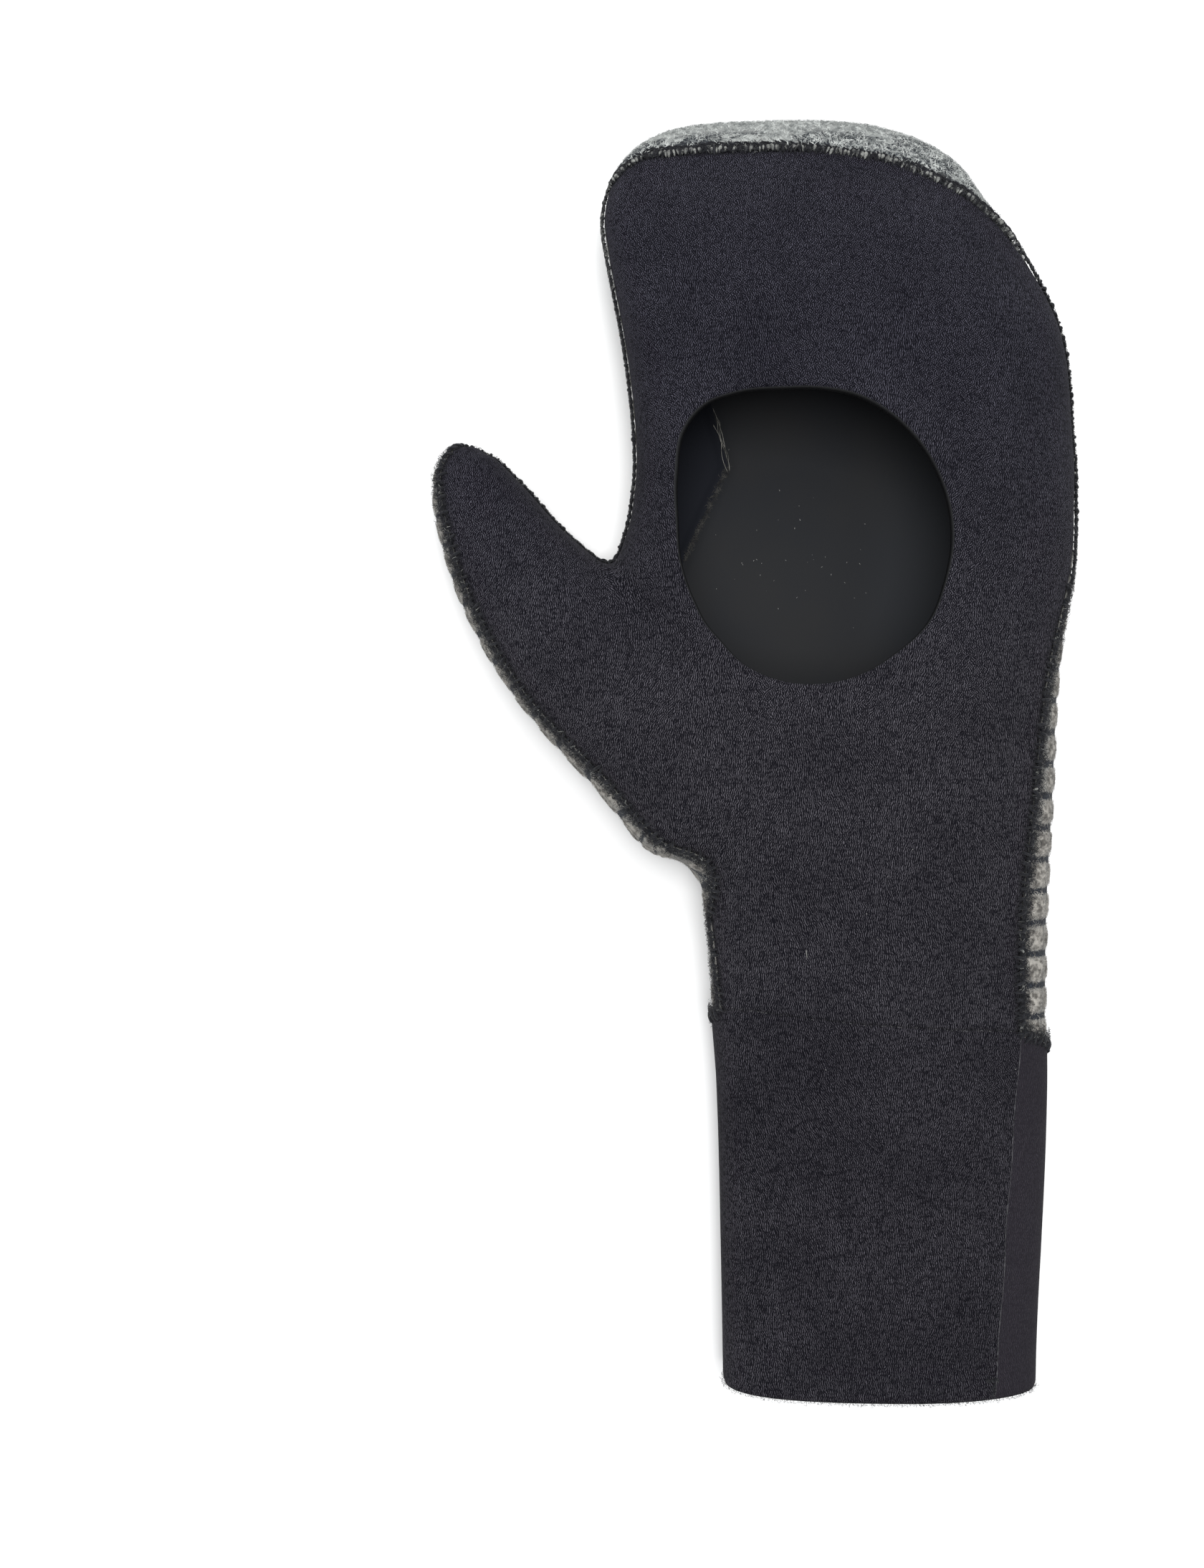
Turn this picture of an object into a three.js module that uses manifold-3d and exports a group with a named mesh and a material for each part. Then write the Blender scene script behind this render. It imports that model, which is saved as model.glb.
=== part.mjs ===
// Palmless fleece mitt for the right hand, lying on its back with the palm up.
// Millimetres. +X is the little-finger side, +Y runs to the fingertips, +Z is up.
// While it is being built, y = 0 is the wrist seam and z = 0 is the floor.
import * as THREE from 'three';
import { mergeVertices } from 'three/addons/utils/BufferGeometryUtils.js';
import Module from 'manifold-3d';

const wasm = await Module();
wasm.setup();

// Driving dimensions, millimetres
const hand_length = 240;       // wrist seam to the end of the fingers
const hand_width = 118;        // across the widest part of the palm
const hand_height = 41;        // floor to the highest part of the palm
const cuff_length = 102;       // wrist seam to the open rim
const cuff_width = 87;
const cuff_height = 25;
const thumb_length = 143.6;    // along the thumb's middle line, from inside the palm to the tip
const thumb_width = 40;        // at the foot of the thumb
const thumb_height = 36;       // at the foot of the thumb
const fleece_thickness = 2;
const lining_thickness = 2;
const jersey_thickness = 2.6;  // palm and cuff
const seam_gap = 0.3;          // air left between two sewn pieces
const palm_hole_width = 70;
const palm_hole_length = 75;
const tip_strip = 10;          // fleece folded over the fingertips on to the palm side
const fold_width = 10;         // one cloth folded round the edge of the mitt at its widest
const wrist_curve = 14;        // dip of the wrist seam on the back of the mitt
const cut_margin = 25;         // how far the cutting shapes stand clear of the cloth
const ring_points = 30;

// Widths and heights of the hand along its length
// along: share of hand_length. left, right: shares of hand_width from the middle line.
// top, lift: shares of hand_height; lift is the height of the underside.
const hand_table = [
  { along: 0.000, left: -0.366, right: 0.405, top: 0.707, lift: 0.000 },
  { along: 0.104, left: -0.378, right: 0.402, top: 0.780, lift: 0.000 },
  { along: 0.250, left: -0.440, right: 0.409, top: 0.890, lift: 0.000 },
  { along: 0.375, left: -0.510, right: 0.416, top: 0.963, lift: 0.000 },
  { along: 0.490, left: -0.584, right: 0.441, top: 1.000, lift: 0.000 },
  { along: 0.560, left: -0.555, right: 0.447, top: 1.000, lift: 0.000 },
  { along: 0.625, left: -0.546, right: 0.447, top: 0.995, lift: 0.000 },
  { along: 0.750, left: -0.572, right: 0.424, top: 0.927, lift: 0.024 },
  { along: 0.854, left: -0.606, right: 0.328, top: 0.817, lift: 0.073 },
  { along: 0.892, left: -0.615, right: 0.283, top: 0.756, lift: 0.098 },
  { along: 0.925, left: -0.605, right: 0.233, top: 0.683, lift: 0.122 },
  { along: 0.950, left: -0.581, right: 0.190, top: 0.624, lift: 0.151 },
  { along: 0.971, left: -0.545, right: 0.131, top: 0.566, lift: 0.190 },
  { along: 0.985, left: -0.504, right: 0.064, top: 0.512, lift: 0.229 },
  { along: 0.996, left: -0.441, right: -0.027, top: 0.459, lift: 0.273 },
  { along: 1.000, left: -0.364, right: -0.110, top: 0.402, lift: 0.329 },
];

// The cuff. along: share of cuff_length. left, right: shares of cuff_width. top: of cuff_height.
const cuff_table = [
  { along: -1.00, left: -0.456, right: 0.524, top: 0.960 },
  { along: -0.60, left: -0.467, right: 0.533, top: 1.000 },
  { along: -0.20, left: -0.478, right: 0.554, top: 1.080 },
];

// The thumb's middle line seen from above, with its sections square to it
// x: share of hand_width. y: share of hand_length. half: share of thumb_width.
// top, lift: shares of thumb_height.
const thumb_table = [
  { x: -0.200, y: 0.180, half: 0.250, top: 0.720, lift: 0.100 },
  { x: -0.339, y: 0.258, half: 0.680, top: 1.000, lift: 0.000 },
  { x: -0.512, y: 0.333, half: 0.600, top: 0.920, lift: 0.000 },
  { x: -0.686, y: 0.417, half: 0.550, top: 0.810, lift: 0.000 },
  { x: -0.816, y: 0.496, half: 0.450, top: 0.700, lift: 0.000 },
  { x: -0.898, y: 0.567, half: 0.345, top: 0.625, lift: 0.020 },
  { x: -0.941, y: 0.612, half: 0.238, top: 0.540, lift: 0.080 },
  { x: -0.955, y: 0.632, half: 0.130, top: 0.450, lift: 0.160 },
  { x: -0.960, y: 0.640, half: 0.050, top: 0.380, lift: 0.230 },
];

// Seam between palm and back, as the distance in from the edge seen from above
// along: share of hand_length. left, right, reach: shares of fold_width.
// Positive: on the palm side. Negative: the palm cloth is wrapped round to the back.
// reach: how far past the left edge the space of the palm panel runs.
const hand_seam_table = [
  { along: -0.130, left: 0.16, right: 0.96, reach: 2.00 },
  { along: 0.000, left: 0.16, right: 1.00, reach: 2.00 },
  { along: 0.104, left: 0.06, right: 1.03, reach: 2.00 },
  { along: 0.158, left: 0.16, right: 1.00, reach: 2.00 },
  { along: 0.190, left: 0.24, right: 0.96, reach: 0.30 },
  { along: 0.333, left: 0.00, right: 0.72, reach: 0.30 },
  { along: 0.400, left: 0.00, right: 0.56, reach: 0.30 },
  { along: 0.470, left: 0.00, right: 0.26, reach: 0.40 },
  { along: 0.500, left: -0.15, right: 0.14, reach: 0.50 },
  { along: 0.625, left: -0.55, right: 0.03, reach: 0.50 },
  { along: 0.708, left: -0.85, right: 0.03, reach: 0.60 },
  { along: 0.775, left: -0.98, right: 0.04, reach: 0.60 },
  { along: 0.829, left: -0.95, right: 0.14, reach: 0.60 },
  { along: 0.871, left: -0.65, right: 0.41, reach: 0.60 },
  { along: 0.900, left: -0.35, right: 0.82, reach: 0.60 },
  { along: 0.925, left: -0.02, right: 1.48, reach: 0.60 },
  { along: 0.945, left: 0.12, right: 2.30, reach: 0.60 },
  { along: 0.956, left: 0.45, right: 3.60, reach: 0.60 },
  { along: 0.963, left: 0.80, right: 5.00, reach: 0.60 },
];

// Seam along the thumb. at: share of the middle line. outer: the edge away from the fingers.
// outer, crotch, reach: shares of fold_width.
const thumb_seam_table = [
  { at: 0.040, outer: 0.45, crotch: 0.00, reach: 0.00 },
  { at: 0.170, outer: 0.42, crotch: 0.00, reach: 0.00 },
  { at: 0.340, outer: 0.36, crotch: 0.00, reach: 0.20 },
  { at: 0.530, outer: 0.30, crotch: 0.00, reach: 0.40 },
  { at: 0.600, outer: 0.32, crotch: -0.20, reach: 0.40 },
  { at: 0.752, outer: 0.34, crotch: -0.45, reach: 0.40 },
  { at: 0.868, outer: 0.36, crotch: -0.65, reach: 0.40 },
  { at: 0.951, outer: 0.30, crotch: -0.40, reach: 0.40 },
  { at: 1.017, outer: 0.20, crotch: -0.20, reach: 0.40 },
];

// Wrist seam across the mitt. across: share of hand_width. palm, back: shares of wrist_curve.
const wrist_seam_table = [
  { across: -0.700, palm: 0.286, back: -0.143 },
  { across: -0.380, palm: 0.214, back: -0.214 },
  { across: -0.150, palm: 0.036, back: -0.786 },
  { across: 0.050, palm: -0.107, back: -1.000 },
  { across: 0.250, palm: -0.214, back: -1.000 },
  { across: 0.390, palm: -0.286, back: -0.929 },
  { across: 0.700, palm: -0.357, back: -0.857 },
];

// Palm hole, as shares of half its width and half its length from its centre
const hole_table = [
  [0.994, -0.050], [0.966, 0.210], [0.883, 0.419], [0.746, 0.627], [0.549, 0.813],
  [0.320, 0.939], [0.043, 0.997], [-0.243, 1.003], [-0.574, 0.984], [-0.800, 0.915],
  [-0.960, 0.740], [-1.006, 0.467], [-1.000, 0.147], [-0.974, -0.147], [-0.880, -0.416],
  [-0.797, -0.571], [-0.683, -0.701], [-0.514, -0.859], [-0.237, -0.976], [0.043, -0.997],
  [0.326, -0.936], [0.603, -0.779], [0.831, -0.571], [0.943, -0.312],
];
const hole_centre = new THREE.Vector2(-0.165 * hand_width, 0.519 * hand_length);

// A row of millimetre values for each station of hand and cuff, from the rim to the fingertips
function body_rows() {
  const rows = cuff_table.map((row) => ({
    y: row.along * cuff_length,
    left: row.left * cuff_width,
    right: row.right * cuff_width,
    top: row.top * cuff_height,
    lift: 0,
  }));
  for (const row of hand_table) {
    rows.push({
      y: row.along * hand_length,
      left: row.left * hand_width,
      right: row.right * hand_width,
      top: row.top * hand_height,
      lift: row.lift * hand_height,
    });
  }
  return rows;
}

// Smooth value of one column between the rows of a table, by a cubic through neighbouring rows
function between(rows, key, column, value) {
  let i = 0;
  while (i < rows.length - 2 && value > rows[i + 1][key]) i += 1;
  const slope = (k) => {
    const a = rows[Math.max(k - 1, 0)];
    const b = rows[Math.min(k + 1, rows.length - 1)];
    return (b[column] - a[column]) / (b[key] - a[key]);
  };
  const width = rows[i + 1][key] - rows[i][key];
  const t = THREE.MathUtils.clamp((value - rows[i][key]) / width, 0, 1);
  const t2 = t * t;
  const t3 = t2 * t;
  return (2 * t3 - 3 * t2 + 1) * rows[i][column] + (t3 - 2 * t2 + t) * width * slope(i)
    + (3 * t2 - 2 * t3) * rows[i + 1][column] + (t3 - t2) * width * slope(i + 1);
}

// Every column of a table at one value of its key
function row_at(rows, key, value) {
  const row = {};
  for (const column of Object.keys(rows[0])) {
    row[column] = column === key ? value : between(rows, key, column, value);
  }
  if ('lift' in row) row.lift = Math.max(row.lift, 0);
  return row;
}

// Height where the section is widest, a little under half way up
const waist = (lift, top) => lift + 0.45 * (top - lift);

// Closed section of a stuffed cloth tube: rounded above, flatter below, with a flat foot
function section_points(half, top, lift) {
  const middle = waist(lift, top);
  const points = [];
  for (let i = 0; i < ring_points; i += 1) {
    const angle = (2 * Math.PI * i) / ring_points;
    const c = Math.cos(angle);
    const s = Math.sin(angle);
    const power = s >= 0 ? 2 / 2.4 : 2 / 2.9;
    const across = half * Math.sign(c) * Math.abs(c) ** power;
    const rise = Math.abs(s) ** power;
    const up = s >= 0
      ? middle + (top - middle) * rise
      : Math.max(lift, middle - 1.05 * (middle - lift) * rise);
    points.push([across, up]);
  }
  return points;
}

// Half of a size after a wall is taken off it, never falling to nothing
const thinned = (half, wall) => Math.max(half - wall, (0.45 * half * half) / (half + wall));

// Height of the upper surface of a section, a distance in from its edge
function surface_height(half, top, lift, inset) {
  const middle = waist(lift, top);
  const share = THREE.MathUtils.clamp((half - Math.abs(inset)) / half, 0, 1);
  const power = inset >= 0 ? 2.4 : 2.9;
  const rise = (1 - share ** power) ** (1 / power);
  return inset >= 0 ? middle + (top - middle) * rise : middle - (middle - lift) * rise;
}

// Stations of the sections: shares of cuff_length below the wrist, of hand_length above it
const cuff_stations = [-1, -0.7, -0.4, -0.15];
const hand_stations = [
  0, 0.07, 0.15, 0.22, 0.29, 0.36, 0.43, 0.48, 0.53, 0.58, 0.64, 0.7, 0.76, 0.81,
  0.855, 0.89, 0.92, 0.945, 0.968, 0.985, 0.996, 1,
];
const thumb_stations = [0, 0.09, 0.17, 0.28, 0.4, 0.5, 0.58, 0.67, 0.76, 0.84, 0.9, 0.945, 0.98, 1];
// Further sections of the seam's cutting shape where the seam turns over the fingertips
const seam_stations = [0.785, 0.833, 0.873, 0.905, 0.933];

// Sections of hand and cuff, a wall thickness in from the outside
function body_rings(wall) {
  const rows = body_rows();
  return [...cuff_stations, ...hand_stations].map((share) => {
    const row = row_at(rows, 'y', share < 0 ? share * cuff_length : share * hand_length);
    const tip = THREE.MathUtils.smoothstep(share, 0.6, 0.97);
    const half = (row.right - row.left) / 2;
    const tall = (row.top - row.lift) / 2;
    const centre = (row.right + row.left) / 2;
    const level = (row.top + row.lift) / 2;
    const half_in = wall > 0 ? thinned(half, wall) : half;
    const tall_in = wall > 0 ? thinned(tall, wall) : tall;
    let y = row.y - wall * tip;
    if (share === -1 && wall > 0) y -= cut_margin / 4;
    return section_points(half_in, level + tall_in, level - tall_in)
      .map(([across, up]) => new THREE.Vector3(centre + across, y, up));
  });
}

// The thumb's middle line as a curve
const thumb_line = new THREE.CatmullRomCurve3(thumb_table.map((row) => (
  new THREE.Vector3(row.x * hand_width, row.y * hand_length, 0))));

// Share of the whole line at which each row of the thumb's table sits, scaled to thumb_length
function thumb_rows() {
  const points = thumb_table.map((row) => (
    new THREE.Vector3(row.x * hand_width, row.y * hand_length, 0)));
  const lengths = [0];
  for (let i = 1; i < points.length; i += 1) {
    lengths.push(lengths[i - 1] + points[i].distanceTo(points[i - 1]));
  }
  const whole = lengths[lengths.length - 1];
  return thumb_table.map((row, i) => ({
    at: lengths[i] / whole,
    half: row.half * thumb_width,
    top: row.top * thumb_height,
    lift: row.lift * thumb_height,
  }));
}

// A point of the thumb's middle line and the directions along and across it, seen from above
function thumb_frame(at) {
  const share = THREE.MathUtils.clamp(at, 0, 1);
  const start = thumb_line.getPointAt(0);
  const whole = thumb_line.getLength();
  const stretch = thumb_length / whole;
  const point = thumb_line.getPointAt(share).sub(start).multiplyScalar(stretch).add(start);
  const along = thumb_line.getTangentAt(share);
  const past = (at - share) * thumb_length;
  point.addScaledVector(along, past);
  const across = new THREE.Vector3(along.y, -along.x, 0);
  return { point, along, across };
}

// Sections of the thumb, a wall thickness in from the outside
function thumb_rings(wall) {
  const rows = thumb_rows();
  return thumb_stations.map((share) => {
    const row = row_at(rows, 'at', share);
    const tip = THREE.MathUtils.smoothstep(share, 0.5, 0.95);
    const tall = (row.top - row.lift) / 2;
    const level = (row.top + row.lift) / 2;
    const half_in = wall > 0 ? thinned(row.half, wall) : row.half;
    const tall_in = wall > 0 ? thinned(tall, wall) : tall;
    const { point, across } = thumb_frame(share - (wall * tip) / thumb_length);
    return section_points(half_in, level + tall_in, level - tall_in)
      .map(([offset, up]) => point.clone().addScaledVector(across, offset).setZ(up));
  });
}

// A closed solid through a row of rings with equal numbers of points
function lofted(rings) {
  const count = rings[0].length;
  const positions = rings.flat().flatMap((point) => point.toArray());
  const faces = [];
  for (let i = 0; i < rings.length - 1; i += 1) {
    for (let j = 0; j < count; j += 1) {
      const a = i * count + j;
      const b = i * count + ((j + 1) % count);
      faces.push(a, b, b + count, a, b + count, a + count);
    }
  }
  for (const [ring, side] of [[0, -1], [rings.length - 1, 1]]) {
    const centre = new THREE.Vector3();
    rings[ring].forEach((point) => centre.addScaledVector(point, 1 / count));
    const index = positions.length / 3;
    positions.push(...centre.toArray());
    for (let j = 0; j < count; j += 1) {
      const a = ring * count + j;
      const b = ring * count + ((j + 1) % count);
      faces.push(...(side > 0 ? [a, b, index] : [b, a, index]));
    }
  }
  const geometry = new THREE.BufferGeometry();
  geometry.setAttribute('position', new THREE.Float32BufferAttribute(positions, 3));
  geometry.setIndex(faces);
  return solid(geometry);
}

// Volume of a closed mesh, negative when its faces point inwards
function volume_of(geometry) {
  const a = new THREE.Vector3();
  const b = new THREE.Vector3();
  const c = new THREE.Vector3();
  const position = geometry.getAttribute('position');
  const index = geometry.getIndex().array;
  let sum = 0;
  for (let i = 0; i < index.length; i += 3) {
    a.fromBufferAttribute(position, index[i]);
    b.fromBufferAttribute(position, index[i + 1]);
    c.fromBufferAttribute(position, index[i + 2]);
    sum += a.dot(b.cross(c)) / 6;
  }
  return sum;
}

// A closed three.js geometry as a solid that can be cut and joined
function solid(source) {
  let geometry = source.clone();
  geometry.deleteAttribute('normal');
  geometry.deleteAttribute('uv');
  geometry = mergeVertices(geometry, 1e-4);
  const triangles = Uint32Array.from(geometry.getIndex().array);
  if (volume_of(geometry) < 0) {
    for (let i = 0; i < triangles.length; i += 3) {
      const first = triangles[i];
      triangles[i] = triangles[i + 1];
      triangles[i + 1] = first;
    }
  }
  return new wasm.Manifold(new wasm.Mesh({
    numProp: 3,
    vertProperties: Float32Array.from(geometry.getAttribute('position').array),
    triVerts: triangles,
  }));
}

// The largest of the bodies of a cut solid; the crumbs that a cut leaves are dropped
function largest(shape) {
  const bodies = shape.decompose();
  return bodies.reduce((best, body) => (body.volume() > best.volume() ? body : best));
}

// Five-sided wedge over a section: everything above the two seam rays
function wedge_points(half, top, lift, left, right, reach_left, reach_right, shift) {
  const middle = waist(lift, top);
  const high = top + cut_margin;
  const edge = (inset, reach, sign) => {
    const height = surface_height(half, top, lift, inset);
    const seam = half - Math.abs(inset);
    const core = Math.min(half - 0.42 * (top - lift), seam - 0.6);
    const run = new THREE.Vector2(seam - core, height - middle).normalize();
    const far = (half + reach - core) / Math.max(run.x, 0.03);
    const length = Math.min(far, (0.95 * high - middle) / Math.max(Math.abs(run.y), 0.02));
    const push = new THREE.Vector2(-run.y, run.x).multiplyScalar(shift);
    const inner = new THREE.Vector2(core, middle).add(push);
    const outer = inner.clone().addScaledVector(run, length);
    outer.x = core + length * run.x - shift;
    return { inner: [sign * inner.x, inner.y], outer: [sign * outer.x, outer.y] };
  };
  const near = edge(right, reach_right, 1);
  const away = edge(left, reach_left, -1);
  return [
    near.inner,
    near.outer,
    [near.outer[0], high],
    [away.outer[0], high],
    away.outer,
    away.inner,
  ];
}

// Space that belongs to the palm panel, drawn back (or pushed out) by shift at its seams
function palm_space(shift) {
  const rows = body_rows();
  const seams = hand_seam_table.map((row) => ({ ...row, y: row.along * hand_length }));
  const tip_line = hand_length - tip_strip;
  const end = tip_line - shift;
  const shares = [...hand_stations, ...seam_stations].sort((a, b) => a - b);
  const stations = [seams[0].y, ...shares.map((share) => share * hand_length)]
    .filter((y) => y < end - 1);
  stations.push(end);
  const rings = stations.map((y) => {
    const row = row_at(rows, 'y', y);
    const half = (row.right - row.left) / 2;
    const centre = (row.right + row.left) / 2;
    const seam = row_at(seams, 'y', Math.min(y, tip_line - seam_gap / 2));
    const left = seam.left * fold_width;
    const right = seam.right * fold_width;
    const reach = seam.reach * fold_width;
    return wedge_points(half, row.top, row.lift, left, right, reach, cut_margin, shift)
      .map(([across, up]) => new THREE.Vector3(centre + across, y, up));
  });
  const thumb = thumb_rows();
  const thumb_wedges = [0.04, ...thumb_stations.slice(1, -2), 1.017].map((at) => {
    const row = row_at(thumb, 'at', Math.min(at, 0.975));
    const seam = row_at(thumb_seam_table, 'at', at);
    const { point, across } = thumb_frame(at);
    const { half, top, lift } = row;
    const outer = seam.outer * fold_width;
    const crotch = seam.crotch * fold_width;
    const reach = seam.reach * fold_width;
    return wedge_points(half, top, lift, outer, crotch, cut_margin / 2, reach, shift)
      .map(([offset, up]) => point.clone().addScaledVector(across, offset).setZ(up));
  });
  return lofted(rings).add(lofted(thumb_wedges));
}

// Space on the fingers' side of the wrist seam, drawn back by shift
function hand_space(shift) {
  const rings = wrist_seam_table.map((row) => {
    const x = row.across * hand_width;
    const palm = row.palm * wrist_curve + shift;
    const back = row.back * wrist_curve + shift;
    const level = 0.33 * hand_height;
    return [
      new THREE.Vector3(x, back, -cut_margin),
      new THREE.Vector3(x, back, 0.1 * hand_height),
      new THREE.Vector3(x, (palm + back) / 2, level),
      new THREE.Vector3(x, palm, 0.6 * hand_height),
      new THREE.Vector3(x, palm, 2 * hand_height),
      new THREE.Vector3(x, 2 * hand_length, 2 * hand_height),
      new THREE.Vector3(x, 2 * hand_length, -cut_margin),
    ];
  });
  rings.unshift(rings[0].map((point) => point.clone().setX(-2 * hand_width)));
  rings.push(rings[rings.length - 1].map((point) => point.clone().setX(2 * hand_width)));
  return lofted(rings);
}

// Upright plug that cuts the palm hole
function hole_plug() {
  const points = hole_table.map(([x, y]) => new THREE.Vector3(
    hole_centre.x + (x * palm_hole_width) / 2,
    hole_centre.y + (y * palm_hole_length) / 2,
    0,
  ));
  const loop = new THREE.CatmullRomCurve3(points, true).getPoints(48).slice(0, 48);
  const shape = new THREE.Shape(loop.map((point) => new THREE.Vector2(point.x, point.y)));
  const geometry = new THREE.ExtrudeGeometry(shape, { depth: hand_height, bevelEnabled: false });
  geometry.translate(0, 0, hand_height / 2);
  return solid(geometry);
}

// The whole mitt as a filled bag, a wall thickness in from its outside
const filled = (wall) => lofted(body_rings(wall)).add(lofted(thumb_rings(wall)));

const outside = filled(0);
const under_fleece = filled(fleece_thickness);
const over_lining = filled(fleece_thickness + seam_gap);
const under_lining = filled(fleece_thickness + seam_gap + lining_thickness);
const under_jersey = filled(jersey_thickness);
const half_gap = seam_gap / 2;
const hand_side = hand_space(half_gap);
const palm_side = palm_space(-half_gap);

// Fleece back: the grey cloth over the back of the hand, folded over fingertips and side
const back_fleece = outside.subtract(under_fleece).intersect(hand_side).subtract(palm_side);

// Back lining: smooth dark cloth under the fleece, seen through the palm hole
const back_lining = over_lining.subtract(under_lining).intersect(hand_side).subtract(palm_side);

// Palm panel: black jersey from the wrist seam to the fingertips, with the palm hole
const palm_panel = outside.subtract(under_jersey).intersect(hand_side)
  .intersect(palm_space(half_gap)).subtract(hole_plug());

// Cuff: long jersey tube, open at both ends
const cuff = outside.subtract(under_jersey).subtract(hand_space(-half_gap));

const pieces = [
  ['back_fleece', back_fleece, 0x8b9092, 0.95],
  ['back_lining', back_lining, 0x1d1e20, 0.85],
  ['palm_panel', palm_panel, 0x25252d, 0.9],
  ['cuff', cuff, 0x23232a, 0.9],
];

const mitt = new THREE.Group();
for (const [name, shape, color, roughness] of pieces) {
  const cut = largest(shape).getMesh();
  const geometry = new THREE.BufferGeometry();
  geometry.setAttribute('position', new THREE.BufferAttribute(cut.vertProperties, 3));
  geometry.setIndex(new THREE.BufferAttribute(cut.triVerts, 1));
  geometry.computeVertexNormals();
  const material = new THREE.MeshStandardMaterial({ color, roughness, metalness: 0 });
  const mesh = new THREE.Mesh(geometry, material);
  mesh.name = name;
  mitt.add(mesh);
}

// The finished mitt's origin is the middle of its footprint, on the floor
const box = new THREE.Box3().setFromObject(mitt);
const middle_x = (box.min.x + box.max.x) / 2;
const middle_y = (box.min.y + box.max.y) / 2;
mitt.children.forEach((mesh) => mesh.geometry.translate(-middle_x, -middle_y, 0));

export default mitt;
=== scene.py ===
# %% [markdown]
# # A palmless fleece mitt, lying palm up
#
# The mitt is four pieces of cloth sewn together: a grey fleece back, a smooth dark lining
# inside it, a black jersey palm with a round hole, and a long jersey cuff. The photograph
# looks straight down on it from close by, so the camera is set first, and the cloth
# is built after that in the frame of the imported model.

import bpy
import numpy as np
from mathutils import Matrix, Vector


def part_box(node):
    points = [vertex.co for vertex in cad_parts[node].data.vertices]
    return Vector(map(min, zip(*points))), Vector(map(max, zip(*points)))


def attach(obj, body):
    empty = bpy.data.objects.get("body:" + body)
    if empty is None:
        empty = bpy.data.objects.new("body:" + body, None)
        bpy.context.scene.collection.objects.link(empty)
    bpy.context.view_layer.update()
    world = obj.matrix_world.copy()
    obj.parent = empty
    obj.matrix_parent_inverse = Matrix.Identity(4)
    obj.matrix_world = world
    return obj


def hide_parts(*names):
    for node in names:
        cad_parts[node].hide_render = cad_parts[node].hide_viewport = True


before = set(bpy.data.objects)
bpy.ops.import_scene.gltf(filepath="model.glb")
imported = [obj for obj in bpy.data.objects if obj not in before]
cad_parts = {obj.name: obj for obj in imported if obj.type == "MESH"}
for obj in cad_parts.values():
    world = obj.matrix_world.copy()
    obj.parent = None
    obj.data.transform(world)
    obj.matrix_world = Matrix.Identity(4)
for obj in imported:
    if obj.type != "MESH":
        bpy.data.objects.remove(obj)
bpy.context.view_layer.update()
print("nodes:", sorted(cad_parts))

# %% [markdown]
# ## Working coordinates
#
# The tables below are in millimetres with y = 0 at the wrist seam and x = 0 on the cuff's
# middle line, as in the CAD model. The row frame has its origin in the middle of the
# footprint, so one shift joins the two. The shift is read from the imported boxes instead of
# being typed in, so it stays right if the model is packed again.

# %% The shift between the two frames
CUFF_LENGTH = 102.0
CUFF_RIGHT = 48.23
HAND_LENGTH = 240.0
UPPER_HALF = 20.0

rim_low = np.array(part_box("cuff")[0]) * 1000
rim_high = np.array(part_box("cuff")[1]) * 1000
SHIFT = np.array([CUFF_RIGHT - rim_high[0], -CUFF_LENGTH - rim_low[1], 0.0])
print("hand frame = row frame +", np.round(SHIFT, 2).tolist())


def to_row(points):
    """Millimetres in the hand frame to metres in the row frame."""
    return (np.asarray(points, float) - SHIFT) / 1000


def row_mm(x, y):
    """A flat place in hand millimetres as row millimetres, which the shaders read."""
    return [float(value) for value in (to_row((x, y, 0.0)) * 1000)[:2]]


# %% [markdown]
# ## Camera
#
# The photograph was taken by a phone held about 34 cm above the pair, looking straight down
# at a point left of this mitt, so near parts are drawn larger than the floor. A long lens
# from far away would be the simple choice, but the palm would then look too small beside
# the cuff. A lens of 27.7 mm on a 36 mm frame at that height gives the same growth.

# %% Camera
LOOK_AT = np.array([-73.2, 62.0, 0.0])
CAMERA_HEIGHT = 343.0
SENSOR = 36.0
FOCAL_PIXELS = 1685.0
PHOTO_PIXELS = 2188.0

camera_data = bpy.data.cameras.new("camera")
camera_data.sensor_fit = "VERTICAL"
camera_data.sensor_width = SENSOR
camera_data.sensor_height = SENSOR
camera_data.lens = FOCAL_PIXELS / PHOTO_PIXELS * SENSOR
camera_data.clip_start = 0.01
camera_data.clip_end = 20.0
camera_data.dof.use_dof = False
camera = bpy.data.objects.new("camera", camera_data)
camera.location = to_row(LOOK_AT + np.array([0.0, 0.0, CAMERA_HEIGHT]))
camera.rotation_euler = (0.0, 0.0, 0.0)
bpy.context.collection.objects.link(camera)
bpy.context.scene.camera = camera
print("camera at", np.round(np.array(camera.location), 4).tolist(), "lens", round(camera_data.lens, 2))

# %% [markdown]
# ## The shape as tables
#
# Each row gives the width and height of the cloth bag at one place: y, left edge,
# right edge, top and underside, in mm. A smooth cubic runs between the rows.
# The thumb has its own middle line with rows along it.

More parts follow.
